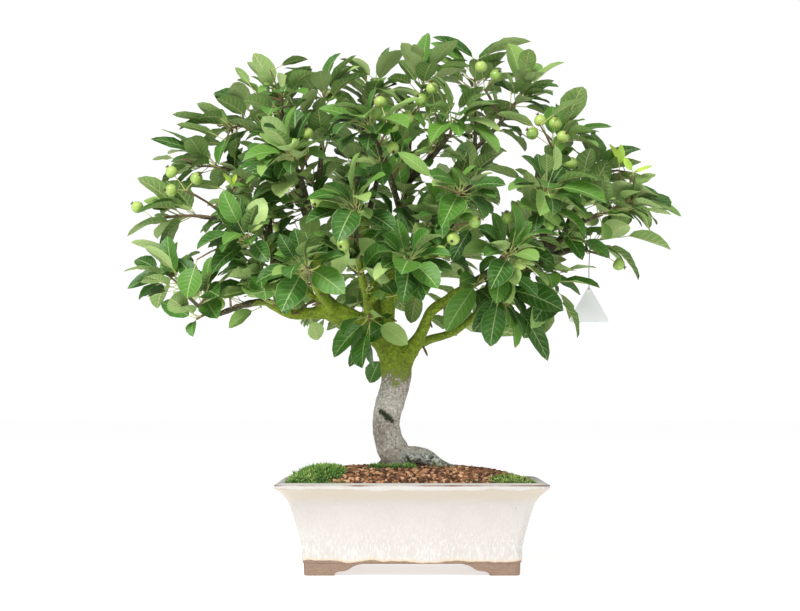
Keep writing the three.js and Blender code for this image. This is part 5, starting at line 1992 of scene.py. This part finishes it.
# %% Shoots of the outline
SHOOT_RADIUS, SHOOT_TIP_RADIUS, SHOOT_BOW = 1.7, 1.0, 0.08
YOUNG_TONES = (0.94, 1.0)

outline = Gathered()
draw = seeded(2600)
for number, (pose, wood, side) in enumerate(known):
    shoot = Twig(wood, pose["root"], UP * SHOOT_BOW * np.linalg.norm(pose["root"] - wood))
    add_twig(outline, shoot, SHOOT_RADIUS, SHOOT_TIP_RADIUS, 2700 + number)
    add_leaf(outline, pose, draw(*YOUNG_TONES) if side == YOUNG else leaf_tone(draw))
leafy_piece(outline, "leaves_of_the_outline")
print(len(known), "leaves on shoots of their own")

# %% [markdown]
# The rosettes on the spurs are gathered by the part of the crown that they fill, so that each
# piece stays small enough to handle.

# %% Spur rosettes
LEFT_PART, RIGHT_PART, FRONT_PART = -120, 90, -30
ROSETTE_RADIUS, ROSETTE_TIP_RADIUS = 2.3, 1.5

regions = {}
for spur in spurs:
    column = "left" if spur.root[0] < LEFT_PART else "right" if spur.root[0] > RIGHT_PART else "middle"
    depth = "front" if spur.root[1] < FRONT_PART else "back"
    regions.setdefault(f"spurs_{column}_{depth}", []).append(spur)
for name, group in sorted(regions.items()):
    rosettes = Gathered()
    for spur in group:
        draw = seeded(1300 + spur.number)
        add_twig(rosettes, spur, ROSETTE_RADIUS, ROSETTE_TIP_RADIUS, 1400 + spur.number)
        for pose in spur.poses:
            add_leaf(rosettes, pose, leaf_tone(draw))
    piece = leafy_piece(rosettes, name)
    print(name, len(piece.data.polygons), "faces")
print(len(known) + sum(len(twig.poses) for twig in sprays + spurs), "leaves in all")

# %% [markdown]
# ## Fruit
# The apples are hard and green in summer, about 19 millimetres wide, a little flattened at the
# stalk, and each still carries the dried sepals of its flower at the far end. One apple is
# modelled from a sphere: the stalk's end is dimpled, the eye's end narrowed and flattened, and
# five sepals that curl out are swept round it. Copies hang from thin stalks in the bunches.

# %% One apple
APPLE_RADIUS = 9.4
FLAT_ABOVE, FLAT_BELOW, DIMPLE, EYE_PINCH, EYE_FLOOR = 0.9, 1.04, 0.16, 0.1, -0.93
SEPAL_LINE = ((0.1, 0.94), (0.13, 1.14), (0.28, 1.3), (0.38, 1.27))
SEPAL_RADII, SEPAL_COUNT = [0.075, 0.085, 0.05, 0.012], 5


def model_apple():
    picked()
    bpy.ops.mesh.primitive_uv_sphere_add(segments=16, ring_count=10, radius=1)
    ball = bpy.context.object
    for vertex in ball.data.vertices:
        x, y, z = vertex.co
        dimple = DIMPLE * max(0, (z - 0.8) / 0.2) ** 1.5
        z = z * (FLAT_ABOVE if z > 0 else FLAT_BELOW) - dimple
        pinch = 1 - EYE_PINCH * max(0, -z - 0.5)
        if z < -0.98 and math.hypot(x, y) < 0.2:
            z = EYE_FLOOR
        vertex.co = (x * pinch, y * pinch, z)
    return shape_of(ball)


def model_sepals():
    """The dried sepals round the eye of the apple, each a narrow spike that curls out."""
    points, faces = [], []
    for i in range(SEPAL_COUNT):
        out = level(i * 2 * math.pi / SEPAL_COUNT)
        path = [out * far - UP * depth for far, depth in SEPAL_LINE]
        spike, sides, _ = sweep(path, SEPAL_RADII, 4)
        faces += [tuple(corner + len(points) for corner in side) for side in sides]
        points += list(spike)
    return np.array(points), faces


APPLE, SEPALS = model_apple(), model_sepals()
print("apple", len(APPLE[1]), "faces, sepals", len(SEPALS[1]))

# %% Fruit finishes
def fruit_finish():
    finish = Finish("green_apple", 0.36, Coat_Weight=0.1, Coat_Roughness=0.3)
    bloom = finish.noise(260)
    body = layered(
        mix(finish.tone(), (112, 154, 34), (168, 196, 84)),
        (finish.noise(70).rise(0.45, 0.75) * 0.5, (178, 198, 96)),
        (finish.flecks(520, 0.42) * 0.7, (226, 232, 184)),
        (bloom * 0.12, (232, 238, 214)),
    )
    return finish.done(body, bloom, 0.15, 0.0004)


def sepal_finish():
    finish = Finish("dried_sepals", 0.85)
    soft = finish.noise(400)
    return finish.done(mix(soft, (58, 42, 30), (120, 96, 68)), soft, 0.4, 0.0004)


FRUIT_FINISHES = [fruit_finish(), sepal_finish(), STALK_FINISH, TWIG_FINISH]

# %% Fruit bunches
FRUIT_STALK = [0.95, 0.7, 0.65, 0.65, 0.65, 0.7, 0.9]
STALK_SINK, STALK_BOW, STALK_SIDES, FRUIT_STALK_TONE = 0.55, 2.5, 5, 0.6

for number, (twig, (_, apples)) in enumerate(zip(bunches, BUNCHES)):
    bunch = Gathered()
    add_twig(bunch, twig, SPUR_RADIUS, SPUR_TIP_RADIUS, 1700 + number)
    draw = seeded(1800 + number)
    for middle in np.array(apples, dtype=float):
        away = unit(twig.tip - middle)
        turn = np.array(Vector(UP).rotation_difference(Vector(away)).to_matrix())
        spin = rotation(UP, draw(0, FULL_TURN))
        tone = draw(0.1, 1)
        for slot, (shape, faces) in enumerate((APPLE, SEPALS)):
            points = (shape @ spin.T) @ turn.T * APPLE_RADIUS + middle
            bunch.add(points, faces, np.zeros((len(shape), 2)), tone, slot)
        stalk = Twig(twig.tip, middle + away * APPLE_RADIUS * STALK_SINK, UP * STALK_BOW)
        path = stalk.line(len(FRUIT_STALK))
        add_round(bunch, path, FRUIT_STALK, STALK_SIDES, FRUIT_STALK_TONE, STALK_SLOT)
    piece = bunch.piece(twig.node.replace("fruit_bunch", "bunch_of_fruit"), FRUIT_FINISHES)
    belongs(piece, twig.node)
print(sum(len(apples) for _, apples in BUNCHES), "apples in", len(bunches), "bunches")

# %% [markdown]
# ## Floor and light
# The tree stands in a white studio with a lit floor, as plants are photographed for a catalogue:
# the sky and the floor are white, and the light comes from all sides. A large softbox above and
# to the left of the camera is the brightest, and a weaker one on the right opens the shade.

# %% Studio
FLOOR_SIZE, FLOOR_WHITE, FLOOR_GLOW = 40, (0.9, 0.9, 0.9, 1), 0.62
SKY_SEEN, SKY_LIGHT = 1.05, 0.4
TREE_MIDDLE = (0, 0, 0.4)

picked()
bpy.ops.mesh.primitive_plane_add(size=FLOOR_SIZE, location=(0, 0, 0))
floor = bpy.context.object
floor.name = "studio_floor"
white = Finish("studio_white", 0.9, Base_Color=FLOOR_WHITE, Emission_Color=(1, 1, 1, 1),
               Emission_Strength=FLOOR_GLOW)
floor.data.materials.append(white.material)

world = bpy.data.worlds.new("studio_sky")
world.use_nodes = True
sky = world.node_tree
background = sky.nodes["Background"]
background.inputs["Color"].default_value = (1.0, 1.0, 1.0, 1)
seen = output(sky, "Is Camera Ray", "ShaderNodeLightPath")
feed(sky, background.inputs["Strength"], seen * (SKY_SEEN - SKY_LIGHT) + SKY_LIGHT)
scene.world = world
scene.view_settings.view_transform = "Standard"


def softbox(name, spot, size, power):
    """A round area lamp that looks at the tree."""
    lamp = bpy.data.lights.new(name, "AREA")
    lamp.shape, lamp.size, lamp.energy = "DISK", size, power
    box = bpy.data.objects.new(name, lamp)
    scene.collection.objects.link(box)
    box.location = spot
    box.rotation_euler = (Vector(TREE_MIDDLE) - Vector(spot)).to_track_quat("-Z", "Y").to_euler()


softbox("key_softbox", (-1.3, -1.9, 2.6), 1.1, 100)
softbox("fill_softbox", (1.8, -1.6, 1.4), 1.6, 10)
print("studio lit")

# %% [markdown]
# ## Last measure
# The box of the solids is printed. The dressed tree may stand only a little proud of its
# solids.

# %% Finish
print("solids", [[round(v, 3) for v in corner] for corner in CAD_BOX])
